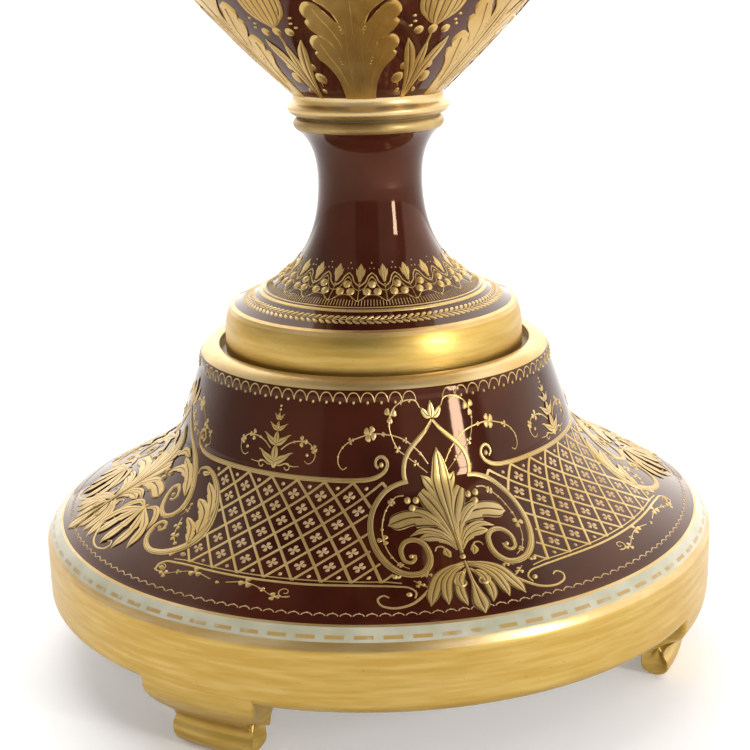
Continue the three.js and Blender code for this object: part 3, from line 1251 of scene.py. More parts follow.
    def blade(self, outline: Sequence[Sequence[float]], height: float, rows: int) -> Relief:
        """A broad lobed leaf whose veins climb from its midrib and bend out to its edge.

        A vein starts on the midrib and ends on the outline. At a share c along it, the point
        has gone c to the power 1.25 of the way across and c to the power 0.8 of the way up.
        The edge is raised as a fine rim.

        Args:
            outline: Right half from base to tip: x, y, and the y where its vein starts.
            height: Lift of the leaf.
            rows: Points along the outline.

        Returns:
            The relief itself.
        """
        x, y, root = smooth_path(outline, rows).T[:, :, None]
        share = np.array([0, 0.12, 0.34, 0.56, 0.75, 0.86, 0.92, 0.97, 1.0])
        dome = np.array([0.72, 0.9, 1.0, 0.92, 0.78, 0.68, 1.0, 0.9, 0.0])
        top = np.concatenate([-share[::-1], share[1:]])
        c = np.concatenate([top, top[-2:0:-1]])[None]
        taper = np.clip(x / 1.5, 0.1, 1.0)
        rise = height * taper * np.concatenate([dome[::-1], dome[1:], np.zeros(len(top) - 2)])
        rise[:, len(top) - 1:] = self.SUNK
        rise[:, 0] = self.SUNK
        across = x * np.sign(c) * np.abs(c) ** 1.25
        down = root + (y - root) * np.abs(c) ** 0.8
        points = np.stack([across, down, rise], axis=2).reshape(-1, 3)
        m = c.shape[1]
        ends = np.arange(m)[None, :]
        faces = [grid_faces(rows, m, False, True), ends, ends[:, ::-1] + (rows - 1) * m]
        self.shells.append(Shell(points, faces, np.full(len(points), PLAIN)))
        return self

    def stamps(self, template: tuple[np.ndarray, list[np.ndarray]], centres: np.ndarray,
               angles: np.ndarray, lengths: np.ndarray, widths: np.ndarray,
               heights: np.ndarray) -> Relief:
        """Many copies of a template, turned, stretched and moved to their centres.

        Args:
            template: Unit points and faces.
            centres: (n, 2) places.
            angles: Degrees from x towards y.
            lengths: Stretch along the template.
            widths: Stretch across it.
            heights: Lift of the tip.

        Returns:
            The relief itself.
        """
        unit, faces = template
        n, m = len(centres), len(unit)
        a = np.radians(np.broadcast_to(angles, n))[:, None]
        u = unit[None, :, 0] * np.broadcast_to(lengths, n)[:, None]
        v = unit[None, :, 1] * np.broadcast_to(widths, n)[:, None]
        x = centres[:, :1] + u * np.cos(a) - v * np.sin(a)
        y = centres[:, 1:2] + u * np.sin(a) + v * np.cos(a)
        lift = unit[None, :, 2] * (np.broadcast_to(heights, n)[:, None] - self.SUNK) + self.SUNK
        points = np.stack([x, y, lift], axis=2).reshape(-1, 3)
        shift = (np.arange(n) * m)[:, None, None]
        blocks = [(block[None] + shift).reshape(-1, block.shape[1]) for block in faces]
        self.shells.append(Shell(points, blocks, np.full(len(points), PLAIN)))
        return self

    def beads(self, centres: Sequence[Pair], radius: float, height: float,
              sides: int = 10) -> Relief:
        """Round beads of one size.

        Args:
            centres: Places of the beads.
            radius: Radius of each.
            height: Lift of their tops.
            sides: Points in a ring.

        Returns:
            The relief itself.
        """
        rings = 3 if sides > 7 else 2
        at = np.array(centres, float)
        return self.stamps(template_bead(sides, rings), at, 0.0, radius, radius, height)

    def cluster(self, centre: Pair, size: float, turn: float, lobes: int = 3,
                height: float = 0.22) -> Relief:
        """Small vine leaf: round lobes spread about a centre, with a dot on it.

        Args:
            centre: Middle of the leaf.
            size: Length of a lobe.
            turn: Angle of the first lobe.
            lobes: Number of lobes.
            height: Lift.

        Returns:
            The relief itself.
        """
        angles = turn + np.linspace(0, 360, lobes, endpoint=False)
        at = np.tile(np.array(centre, float), (lobes, 1))
        petal = template_petal(10, 1.0)
        self.stamps(petal, at, angles, size, size * 0.64, height)
        return self.beads([centre], size * 0.22, height + 0.08, 8)

    def vine(self, knots: Sequence[Pair], half: float, height: float,
             clusters: Sequence[tuple[int, float, int]]) -> Relief:
        """A wiry stem with small leaves or beads at some of its knots.

        Args:
            knots: Points of the stem.
            half: Half width of the stem.
            height: Its lift.
            clusters: Knot number, size and number of lobes; one lobe is a bead.

        Returns:
            The relief itself.
        """
        self.ribbon(smooth_path(knots, 6 * len(knots)), [half * 1.2, half, half * 0.7], height)
        for knot, size, lobes in clusters:
            if lobes > 1:
                self.cluster(knots[knot], size, 40.0 * knot, lobes)
            else:
                self.beads([knots[knot]], size, height + 0.06, 8)
        return self


def around_circle(count: int) -> np.ndarray:
    """Evenly spaced azimuths in degrees."""
    return np.arange(count) * 360.0 / count


@dataclass(frozen=True)
class Cartouche:
    """Ogee arch and facing C-scrolls that frame a spray of acanthus, with vines around."""

    band: float = 0.95
    height: float = 0.34

    def frame(self) -> Relief:
        """Arch, scrolls and the tulip on the tip of the arch.

        Returns:
            The relief, its x zero on the middle line.
        """
        half = Relief()
        arch = smooth_path([(0.2, 7.6), (2.8, 10.3), (5.9, 12.8), (8.9, 15), (11.4, 17.3),
                            (13.1, 20), (13.8, 22.8), (13.7, 25.3), (13.2, 27)], 44)
        half.ribbon(arch, [0.6, self.band, self.band, self.band], self.height, 1.6)
        scroll = [(12.4, 26.7), (15, 27), (18, 27.8), (21.3, 29.4), (23.9, 31.9), (25.8, 35),
                  (26.9, 38.7), (27.1, 42.6), (26.6, 46.5), (25.4, 50.5), (23.5, 54.5),
                  (21, 58.1), (18.1, 60.5), (15.2, 61.3), (12.5, 60.7), (10.6, 58.6),
                  (9.6, 55.6), (9.7, 52.4), (10.6, 49.7), (12.2, 48.2), (14.3, 47.8),
                  (16.3, 48.6), (17.6, 50.7), (17.7, 53.6), (16.8, 56), (15.2, 56.6),
                  (14, 55.4), (13.9, 53.8)]
        half.ribbon(smooth_path(scroll, 150), [0.8, 1.0, 1.05, 1.1, 1.05, 0.9, 0.55],
                    self.height + 0.04, 1.6)
        half.beads([(14.9, 54.2)], 0.85, 0.6)
        half.leaf([(0.4, 6.6), (2.2, 6.0), (3.6, 4.6), (4.7, 3.2)], (0.4, 1.2, 1.1, 0), 0.3)
        whole = Relief().mirrored(half)
        whole.leaf([(0, 7), (0, 5), (0, 3), (0, 1.2)], (0.5, 1.7, 1.2, 0), 0.34, lift=0.08)
        return whole

    def spray(self) -> Relief:
        """Acanthus leaves that fan from a bead at the foot of the cartouche.

        Returns:
            The relief, its x zero on the middle line.
        """
        half = Relief()
        half.leaf([(0.6, 52), (1.6, 47), (3.6, 42.6), (8.2, 40), (13.8, 39.6), (21.2, 42)],
                  (0.7, 1.5, 2.8, 3.8, 3.6, 0.1), 0.4, 1.2, 44, 0, 3)
        half.leaf([(3.4, 44), (6, 41), (9, 38.6), (12.8, 37.2)], (0.6, 1.3, 1.2, 0.1), 0.3,
                  1.0, 18, 0.16)
        half.leaf([(1.4, 50.4), (4.8, 46.4), (9.4, 44.8), (14.4, 46.4)], (0.6, 1.2, 1.2, 0.1), 0.3,
                  1.0, 18, 0.14)
        half.leaf([(0.8, 53.4), (3, 49.6), (6.6, 47.6), (11.8, 47.6)], (0.5, 1.5, 2.1, 0.1), 0.34,
                  1.0, 24, 0, 2)
        half.leaf([(0.5, 51), (1.3, 44), (2.9, 38.6), (5, 34.4), (8, 30.4)],
                  (0.6, 1.4, 2.5, 3.5, 2.0), 0.38, 1.2, 34, 0.06)
        half.leaf([(0.7, 36), (2.2, 31.6), (4.2, 28.2), (6.9, 25)], (0.5, 1.9, 2.1, 0.2), 0.36,
                  1.0, 20, 0.16)
        half.leaf([(3.6, 55.9), (4.3, 54), (4.4, 52.4)], (0.3, 1.4, 0.5), 0.3)
        half.ribbon(smooth_path([(4.3, 52.6), (5.4, 51.4), (6.9, 51.6), (7.6, 53)], 18),
                    [0.4, 0.3, 0.2], 0.2)
        half.beads([(13.4, 33), (10.2, 33.2), (12, 35.9)], 1.35, 0.8)
        half.ribbon(smooth_path([(10.9, 35.2), (8.8, 37), (7, 39.4)], 10), [0.2, 0.35], 0.2)
        whole = Relief().mirrored(half)
        whole.leaf([(0, 55), (0.3, 46), (0.6, 38), (0.8, 31), (0.7, 26), (0.5, 21), (0.3, 16.4)],
                   (0.6, 0.8, 1.3, 2.0, 3.5, 4.1, 2.9, 0.1), 0.46, 1.4, 50, 0.2)
        return whole.beads([(0, 56.2)], 1.0, 0.6)

    def vines(self) -> Relief:
        """Wiry vines inside the scrolls and across the arch, with their small leaves.

        Returns:
            The relief, its x zero on the middle line.
        """
        half = Relief()
        half.vine([(14.6, 31.2), (17.8, 31.7), (19.4, 33.3), (21.6, 36.2), (22.7, 39.5),
                   (23.2, 43.2), (22.9, 47.3), (22, 50.9), (20.6, 54.1), (18.4, 57.2),
                   (16, 59)], 0.24, 0.18,
                  [(2, 1.5, 4), (3, 0.5, 1), (4, 0.5, 1), (5, 0.6, 1), (6, 2.2, 3), (8, 0.5, 1),
                   (9, 1.1, 4)])
        half.vine([(4.9, 3.4), (6.4, 1.2), (9.8, 0.6), (13.4, 1.3), (16.4, 2.9), (18.1, 5.2),
                   (18.8, 8.6), (17.8, 12.4), (15.8, 16), (11.6, 19), (8.6, 21.1),
                   (4.2, 24.4)], 0.26, 0.18,
                  [(3, 0.9, 3), (5, 3.0, 3), (6, 0.6, 1), (8, 1.5, 3), (10, 1.3, 3)])
        half.vine([(3.6, 21.6), (6.4, 18), (8.9, 15.8), (12.3, 13.5), (17.2, 11.8),
                   (21.4, 11.2), (27, 11), (31.2, 12), (35, 13.2), (38.5, 15.4), (40.3, 18.4),
                   (39.8, 21.2), (38, 22.4), (36.6, 21.6)], 0.26, 0.18,
                  [(1, 0.7, 1), (3, 1.2, 3), (5, 0.9, 4), (6, 2.9, 4), (8, 1.4, 3), (9, 0.5, 1),
                   (10, 0.5, 1)])
        return Relief().mirrored(half)

    def pendant(self) -> Relief:
        """Leaves that droop under the cartouche, with long curling tendrils.

        Returns:
            The relief, its x zero on the middle line.
        """
        half = Relief()
        half.leaf([(0.5, 59), (4, 59.8), (8.2, 62.8), (10.6, 68), (12.2, 73.8)],
                  (0.3, 1.2, 1.9, 1.9, 0.1), 0.32, 1.2)
        half.leaf([(0.6, 59.8), (3.6, 61.2), (6.6, 65), (7.6, 69.6), (7.8, 73.8)],
                  (0.3, 1.1, 1.7, 1.6, 0.1), 0.32, 1.2, lift=0.08)
        half.leaf([(0.6, 61), (2.4, 64), (3.9, 68), (3.9, 71.6), (3.2, 74.8)],
                  (0.3, 1.0, 1.5, 1.4, 0.1), 0.32, 1.2, lift=0.04)
        half.leaf([(1.4, 62), (2.8, 63.6), (3.6, 66), (3.2, 67.8)], (0.3, 1.3, 1.3, 0.4), 0.3, 1.0,
                  lift=0.2)
        half.ribbon(volute((2.9, 66.2), (4.3, 64.6), 1.1, 0.3, 22), [0.35, 0.2], 0.56)
        half.ribbon(smooth_path([(0.6, 58.6), (5.8, 60.2), (9.8, 64.6), (13.4, 69.4),
                                 (17.3, 72.8), (21.6, 73.6), (24.4, 72.2), (24.9, 70),
                                 (23.4, 68.8), (22.2, 69.7)], 60),
                    [0.5, 0.55, 0.5, 0.4, 0.25], 0.26)
        half.vine([(9.6, 64.2), (11.2, 61.6), (13.4, 62.6)], 0.2, 0.16, [(1, 1.3, 3)])
        half.vine([(11.4, 67), (13.8, 65.2), (15.4, 63.6)], 0.2, 0.16, [(1, 1.5, 3)])
        whole = Relief().mirrored(half)
        whole.leaf([(0, 58), (0, 62), (0, 67), (0, 72), (0.1, 75), (0.2, 78.4)],
                   (0.4, 0.5, 0.6, 1.4, 2.3, 0.1), 0.36, 1.2, 28, 0.14)
        return whole


@dataclass(frozen=True)
class Trellis:
    """Lattice panel with a floret in each diamond, framed by bands that end in curls."""

    half_pitch: float = 4.65
    rows: tuple[float, ...] = (26.6, 31.4, 36.3, 41.4, 46.7, 52.2, 57.9, 63.8)
    middle: float = 68.2
    line_half: float = 0.5

    def inside(self, x: np.ndarray, y: np.ndarray, chart: Chart) -> np.ndarray:
        """How far a place is inside the panel's two ends, negative outside.

        The plain cartouche stands at the end where x is positive, the leafy one at the other.

        Args:
            x: Distance round from the panel's middle.
            y: Distance down.
            chart: Chart with true distances.

        Returns:
            The smaller of the two distances.
        """
        edge_y = [25, 28, 31, 34, 38, 43, 47, 51, 55, 59, 62, 65]
        plain = [21, 20.2, 24, 26.2, 27.7, 28, 27.4, 26.2, 24.2, 21, 18, 17]
        leafy = [33, 36, 40.5, 44.6, 48.8, 52.2, 53.9, 54.6, 54.2, 52, 49.4, 46]
        scale = chart.radius(y) / STAND_UNROLLED
        right = (self.middle - np.interp(y, edge_y, plain)) * scale - x
        left = (self.middle - np.interp(y, edge_y, leafy)) * scale + x
        return np.minimum(right, left)

    def lattice(self, chart: Chart) -> Relief:
        """Crossing lines, each sampled finely and kept where it lies inside the panel.

        Args:
            chart: Chart with true distances.

        Returns:
            The relief of one panel.
        """
        relief = Relief()
        steps = len(self.rows) - 1
        fine = np.linspace(0, steps, steps * 8 + 1)
        y = np.interp(fine, np.arange(steps + 1), self.rows)
        for start in range(-24, 25, 2):
            for way in (-1, 1):
                x = (start + way * fine) * self.half_pitch
                kept = np.flatnonzero(self.inside(x, y, chart) > 0)
                if len(kept) > 2:
                    run = slice(kept[0], kept[-1] + 1)
                    relief.ribbon(np.stack([x[run], y[run]], axis=1), self.line_half, 0.2)
        return relief

    def florets(self, chart: Chart) -> Relief:
        """Four petals and a bright dot in every diamond, a pearl in the half diamonds.

        Args:
            chart: Chart with true distances.

        Returns:
            The relief of one panel.
        """
        relief = Relief()
        kk, rr = np.meshgrid(np.arange(-24, 25), np.arange(len(self.rows)))
        odd = (kk + rr) % 2 == 1
        row = rr[odd]
        x, y = (kk * self.half_pitch)[odd], np.array(self.rows)[row]
        room = self.inside(x, y, chart)
        inner = (row > 0) & (row < len(self.rows) - 1)
        centres = np.stack([x, y], axis=1)
        full = centres[inner & (room > 2.8)]
        petal = template_petal(7, 1.0)
        for turn in (0, 90, 180, 270):
            relief.stamps(petal, full, turn, 2.1, 1.15, 0.2)
        relief.beads(full, 0.42, 0.36, 7)
        drop = np.stack([np.zeros_like(x), np.where(row == 0, 1.9, -1.9)], axis=1)
        relief.beads((centres + drop)[~inner & (room > 1.6)], 0.7, 0.4, 8)
        pull = np.stack([-np.sign(x) * 1.3, np.zeros_like(x)], axis=1)
        return relief.beads((centres + pull)[inner & (room > 0.4) & (room <= 2.8)], 0.7, 0.4, 8)

    def bands(self, low_end: float) -> Relief:
        """The upper and lower bands either side of a cartouche, ending in curls round pearls.

        Args:
            low_end: Where the lower band ends, measured from the cartouche.

        Returns:
            Both sides of the relief.
        """
        half = Relief()
        top = [(68.4, 25.9), (60, 25.9), (45, 25.9), (32, 25.8), (27, 25.4), (23.6, 24.4),
               (21, 22.6), (20.2, 20.4), (21.2, 18.8), (23, 18.3), (24.6, 19.2), (24.9, 21),
               (23.8, 22)]
        half.ribbon(smooth_path(top, 110), [0.85, 0.85, 0.85, 0.8, 0.5], 0.32, 1.6)
        half.beads([(22.6, 21)], 1.0, 0.6)
        e = low_end
        low = [(68.4, 65), ((68.4 + e) / 2 + 4, 65), (e + 11, 65), (e + 5.2, 65.5),
               (e + 1.4, 66.4), (e, 68.2), (e + 0.5, 70.4)]
        half.ribbon(smooth_path(low, 80), [0.42, 0.42, 0.42, 0.3], 0.22)
        thin = [(68.4, 63.5), (e + 14, 63.5), (e + 7, 63.7), (e + 3.4, 64.4)]
        half.ribbon(smooth_path(thin, 50), 0.24, 0.16)
        half.beads([(e + 1.8, 68.8), (e + 5, 61.8)], 0.85, 0.5)
        return Relief().mirrored(half)

    def palmette(self) -> Relief:
        """Tiers of open lilies over the middle of the panel, with scrolling tendrils.

        Returns:
            The relief, its x zero on the panel's middle.
        """
        half = Relief()
        for low, reach, tall in ((7.9, 2.6, 1.9), (11.3, 4.7, 2.3), (15.9, 6.7, 3.5),
                                 (21.8, 8.4, 3.8)):
            half.leaf([(0.1, low), (reach * 0.3, low - tall * 0.22), (reach * 0.62, low - tall * 0.55),
                       (reach * 0.84, low - tall * 0.86), (reach, low - tall * 0.94)],
                      (tall * 0.2, tall * 0.34, tall * 0.26, tall * 0.12, 0.05), 0.3, 1.0, 18)
        half.vine([(2.6, 17.6), (5.6, 15.6), (8.4, 14.6), (12.4, 14.2), (15.4, 14.7), (17.4, 16.4),
                   (18.2, 18.4), (17.2, 20.4), (15.2, 21.2), (13.6, 20.4)], 0.22, 0.18,
                  [(2, 0.55, 1), (3, 2.1, 3), (5, 1.6, 4)])
        half.beads([(14.6, 18.5)], 0.7, 0.4, 8)
        half.ribbon(smooth_path([(0.4, 22.6), (2.6, 22.8), (5, 22), (6.8, 22), (7.2, 23.4),
                                 (5.8, 24), (5, 23.2)], 30), [0.28, 0.22], 0.18)
        half.ribbon(smooth_path([(5.4, 22), (8, 22.6), (11.4, 22.4)], 12), [0.24, 0.12], 0.16)
        whole = Relief().mirrored(half)
        whole.beads([(0, 3.5), (0, 4.8)], 0.55, 0.36, 8).beads([(0, 22.8)], 1.2, 0.5)
        for low, tall in ((7.6, 1.9), (11, 2.4), (15.6, 3.8), (21, 4.8)):
            whole.leaf([(0, low), (0, low - tall * 0.5), (0, low - tall)],
                       (tall * 0.14, tall * 0.36, tall * 0.3, 0.1), 0.34, 1.0, 12, 0.1)
        return whole

    def undergrowth(self) -> Relief:
        """Thin tendrils with a few leaves under the middle of the panel.

        Returns:
            The relief, its x zero on the panel's middle.
        """
        half = Relief()
        half.vine([(2.4, 68), (8, 66.8), (13, 68.4), (17, 70.6), (21, 70)], 0.16, 0.12,
                  [(1, 2.3, 3), (2, 1.0, 3), (3, 1.7, 3)])
        half.ribbon(volute((19.4, 68.6), (21, 70), 1.2, 0.4, 22), [0.2, 0.14], 0.12)
        return Relief().mirrored(half).beads([(0, 68.6)], 0.6, 0.3, 8)


@dataclass(frozen=True)
class LeafyCartouche:
    """Wide cartouche of the two sides: an arch of scrolls wrapped in acanthus."""

    height: float = 0.36

    def frame(self) -> Relief:
        """Inner scrolls that meet in an arch, outer scrolls overgrown with leaves.

        Returns:
            The relief, its x zero on the middle line.
        """
        half = Relief()
        inner = [(0.4, 14.8), (3.2, 17.4), (7.2, 20.2), (13.4, 24), (19.8, 27.6), (25.3, 31.2),
                 (30.3, 35.5), (33.8, 39.4), (35.9, 43.3), (36.4, 46.8), (35.2, 49.8),
                 (32.6, 51.4), (29.2, 50.4), (25.8, 47.3), (23.5, 43.8), (22.9, 41.2),
                 (24.4, 39.9), (26.9, 40.7), (28.9, 43), (28.6, 45), (27, 45.2)]
        half.ribbon(smooth_path(inner, 150), [0.6, 1.1, 1.4, 1.5, 1.3, 1.1, 1.0, 0.95, 0.5],
                    self.height, 1.6)
        half.beads([(26.7, 43.4)], 0.95, 0.6)
        outer = [(30, 33), (29.4, 31.2), (31.6, 30), (37.2, 30.6), (42.1, 33), (47, 37.4),
                 (50, 41.9), (52, 46.8), (52.7, 50.8), (52.4, 54.8), (51, 58.2), (48, 61.6),
                 (44.1, 63.9), (39.6, 64.5), (35.8, 62.5), (33.6, 59), (33.1, 55.8), (34.4, 53.5),
                 (36.6, 53.8), (37.2, 56), (36, 57)]
        half.ribbon(smooth_path(outer, 150), [0.4, 0.8, 1.2, 1.5, 1.6, 1.5, 1.2, 1.0, 0.9, 0.5],
                    self.height, 1.6)
        half.beads([(35.5, 56)], 0.8, 0.55)
        half.leaf([(37, 31.2), (34.6, 31.8), (32.2, 31.6)], (0.3, 1.0, 0.2), 0.3)
        for root, bend, tip, width in (((51, 46), (45.6, 38.6), (39.2, 34.2), 2.0),
                                       ((51.6, 53), (47.2, 44.4), (40.4, 40.8), 2.5),
                                       ((51, 57.5), (47.2, 51.4), (42.4, 48.6), 1.8)):
            half.leaf([root, bend, tip], (0.8, width, width * 0.95, 0.2), 0.34, 1.0, 30, 0.12, 3)
        for root, bend, tip, width in (((33, 41.8), (24.6, 34.4), (14, 30.4), 2.3),
                                       ((26, 36), (18.4, 34.2), (11.4, 37.2), 1.8),
                                       ((17.4, 29.4), (11, 28.8), (5.8, 32.4), 1.7)):
            half.leaf([root, bend, tip], (0.6, width, width * 0.9, 0.2), 0.34, 1.0, 30, 0.08, 3)
        half.leaf([(0.4, 13.2), (3.4, 11.6), (5.4, 8.4), (6.6, 6)], (0.5, 1.7, 1.3, 0.1), 0.32)
        whole = Relief().mirrored(half)
        return whole.leaf([(0, 13.8), (0, 10), (0, 6.6), (0, 3.6)], (0.6, 2.2, 1.6, 0.1), 0.36, 1.0,
                          18, 0.1)

    def growth(self) -> Relief:
        """Fans of drooping leaves under the scrolls, vines over them.

        Returns:
            The relief, its x zero on the middle line.
        """
        half = Relief()
        for tip_x, tip_y, bend in ((9.5, 68.4, -3.0), (14.6, 71, -1.4), (20.6, 72.2, 0.4),
                                   (26.6, 71, 2.2), (32, 68.2, 3.4)):
            middle = ((20.6 + tip_x) / 2 + bend, (52.4 + tip_y) / 2 - 1.2)
            half.leaf([(20.6, 52.6), middle, (tip_x, tip_y)], (0.4, 1.5, 1.9, 0.1), 0.34, 1.0, 26,
                      0.02 * tip_x - 0.1 if tip_x < 21 else 0.1, 2)
        half.leaf([(20.6, 53), (25.6, 50.8), (30.4, 54.6), (31.4, 59.4)], (0.3, 1.1, 1.3, 0.1), 0.3)
        half.leaf([(20.6, 53), (15.8, 51.8), (11.8, 55), (9.8, 60)], (0.3, 1.1, 1.3, 0.1), 0.3)
        half.beads([(20.6, 52)], 1.0, 0.55)
        half.vine([(3.6, 13.4), (8.4, 10), (14, 10.6), (19.2, 13.2), (23, 16.2), (28, 18.4),
                   (29.6, 21.6), (27, 23)], 0.24, 0.18,
                  [(1, 1.0, 1), (2, 2.7, 4), (4, 2.1, 3), (5, 1.5, 3), (7, 0.7, 1)])
        half.vine([(5, 15.6), (8, 16), (12.4, 18.8), (17.4, 20.4)], 0.24, 0.18,
                  [(1, 2.2, 3), (2, 2.3, 3), (3, 1.3, 3)])
        half.vine([(40.4, 49.4), (41.6, 52.6), (43.8, 56.6), (46.4, 59)], 0.22, 0.16,
                  [(1, 1.8, 3), (2, 1.9, 3), (3, 0.8, 1)])
        half.vine([(39, 43.6), (39.6, 46), (38.8, 48.8)], 0.2, 0.16, [(0, 0.7, 1), (1, 1.2, 3)])
        return Relief().mirrored(half)


@dataclass(frozen=True)
class Borders:
    """Fine borders that run right round the stand."""

    count: int = 88
    gap: float = 6.5

    def rim(self) -> Relief:
        """Small arcs under the rim, each over a pearl, with a short stem where two meet.

        Returns:
            The relief of one quarter turn.
        """
        relief = Relief()
        pitch = 2 * math.pi * STAND_UNROLLED / self.count
        x = (np.arange(self.count // 4) + 0.5) * pitch
        x = x[(x > self.gap) & (x < 2 * math.pi * STAND_UNROLLED / 4 - self.gap)]
        relief.beads(np.stack([x, np.full_like(x, 1.0)], 1), 0.66, 0.45, 9)
        for at in x:
            h = pitch / 2
            arch = [(at - h, 0.9), (at - h * 0.86, -0.6), (at - h * 0.5, -1.9), (at, -2.3),
                    (at + h * 0.5, -1.9), (at + h * 0.86, -0.6), (at + h, 0.9)]
            relief.ribbon(smooth_path(arch, 13), 0.24, 0.18)
        return relief

    def flare(self) -> Relief:
        """Little arcs and dots along the outer edge of the flare, one quarter turn.

        Returns:
            The relief of one quarter turn.
        """
        relief = Relief()
        count = self.count // 4 * 2
        pitch = 2 * math.pi * STAND_UNROLLED / 4 / count
        x = (np.arange(count) + 0.5) * pitch
        relief.beads(np.stack([x, np.full_like(x, 75.4)], 1), 0.34, 0.22, 7)
        for at in x:
            relief.ribbon(arc((at, 76.9), pitch * 0.46, 200, 340, 8), 0.18, 0.12)
        return relief


@dataclass(frozen=True)
class FootDecor:
    """Arcade of berries, comb of fine strokes and a laurel on the slope of the urn's foot."""

    arches: int = 22
    sprigs: int = 60

    def arcade(self) -> Relief:
        """One arch of the arcade: posts, double arch, berries, finial and a spear.

        Returns:
            The relief, its x zero on the arch's middle.
        """
        pitch = 2 * math.pi * FOOT_UNROLLED / self.arches
        half = Relief()
        arch = [(0.05, 29.6), (1.5, 30.9), (2.4, 33), (3.7, 34.3), (pitch / 2, 35)]
        half.ribbon(smooth_path(arch, 16), 0.27, 0.2)
        half.ribbon(smooth_path([(0.05, 31), (1.1, 32.2), (1.7, 34), (2.8, 35.8),
                                 (pitch / 2, 36.8)], 14), 0.16, 0.14)
        half.ribbon(smooth_path([(pitch / 2, 35), (pitch / 2, 38), (pitch / 2, 41)], 6), 0.2, 0.16)
        swag = [(pitch / 2, 41.6), (3.2, 40.4), (1.8, 38.9), (0, 38.4)]
        half.ribbon(smooth_path(swag, 12), 0.16, 0.13)
        berry = template_bead(10, 3)
        half.stamps(berry, np.array([(1.8, 37.2)]), 90.0, 1.6, 1.5, 0.7)
        half.beads([(2.9, 40.1)], 0.36, 0.2, 7)
        half.beads([(0.85, 27.9)], 0.34, 0.22, 7)
        whole = Relief().mirrored(half)
        whole.stamps(berry, np.array([(0, 34.1)]), 90.0, 1.6, 1.5, 0.7)
        whole.beads([(0, 31.4), (0, 25.9)], 0.38, 0.24, 7)
        x = pitch / 2
        whole.leaf([(x, 33.2), (x, 30.8), (x, 28.6), (x, 26.2)], (0.35, 1.1, 1.3, 0.05), 0.3, 0, 12)
        whole.leaf([(x, 32), (x + 1.0, 30), (x + 1.9, 28)], (0.3, 0.7, 0.05), 0.24, 0, 8)
        whole.leaf([(x, 32), (x - 1.0, 30), (x - 1.9, 28)], (0.3, 0.7, 0.05), 0.24, 0, 8)
        return whole.beads([(x, 34), (x, 41.3)], 0.42, 0.26, 7)

    def comb(self) -> Relief:
        """Fine upright strokes under one arch, ten to an arch.

        Returns:
            The relief under one arch.
        """
        pitch = 2 * math.pi * FOOT_UNROLLED / self.arches
        relief = Relief()
        for k in range(10):
            x = (k - 4.5) * pitch / 10
            relief.ribbon(np.array([(x, 40.6 + 0.5 * abs(k - 4.5) / 4.5), (x, 42.2), (x, 43.6)]),
                          0.12, 0.1)
        return relief

    def laurel(self) -> Relief:
        """One sprig of the laurel: slanted leaves on both sides of the stem, which runs right round as
        one of the rings.

        Returns:
            The relief of one sprig.
        """
        pitch = 2 * math.pi * FOOT_UNROLLED / self.sprigs
        relief = Relief()
        petal = template_petal(7, 0.6)
        for side in (-1, 1):
            at = np.array([(-pitch / 4, 50.7), (pitch / 4, 50.7)])
            relief.stamps(petal, at, 48.0 * side, 3.2, 0.8, 0.2)
        return relief

    def rings(self) -> Relief:
        """Bands right round: under the comb, at the laurel's stem and at the edge.

        Returns:
            The relief of the whole turn.
        """
        relief = Relief()
        turn = np.linspace(0, 2 * math.pi * FOOT_UNROLLED, 241)[:-1]
        for y, half, height in ((44.4, 0.3, 0.12), (46, 0.8, 0.2), (50.7, 0.16, 0.14)):
            relief.shells.append(ring_strip(turn, y, half, height))
        return relief


def ring_strip(turn: np.ndarray, y: float, half: float, height: float) -> Shell:
    """A rounded band that runs right round a chart at one y, closed on itself.

    Args:
        turn: Places round the chart.
        y: Distance down.
        half: Half width.
        height: Lift of the middle.

    Returns:
        The closed band.
    """
    columns = np.array([-1, -0.7, 0, 0.7, 1.0])
    rise = height * np.sqrt(np.clip(1 - columns**2, 0, 1))
    rise[[0, -1]] = Relief.SUNK
    n, m = len(turn), len(columns)
    x = np.repeat(turn, m)
    across = np.tile(y + columns * half, n)
    points = np.stack([x, across, np.tile(rise, n)], axis=1)
    return Shell(points, [grid_faces(n, m, True, True)], np.full(len(points), PLAIN))


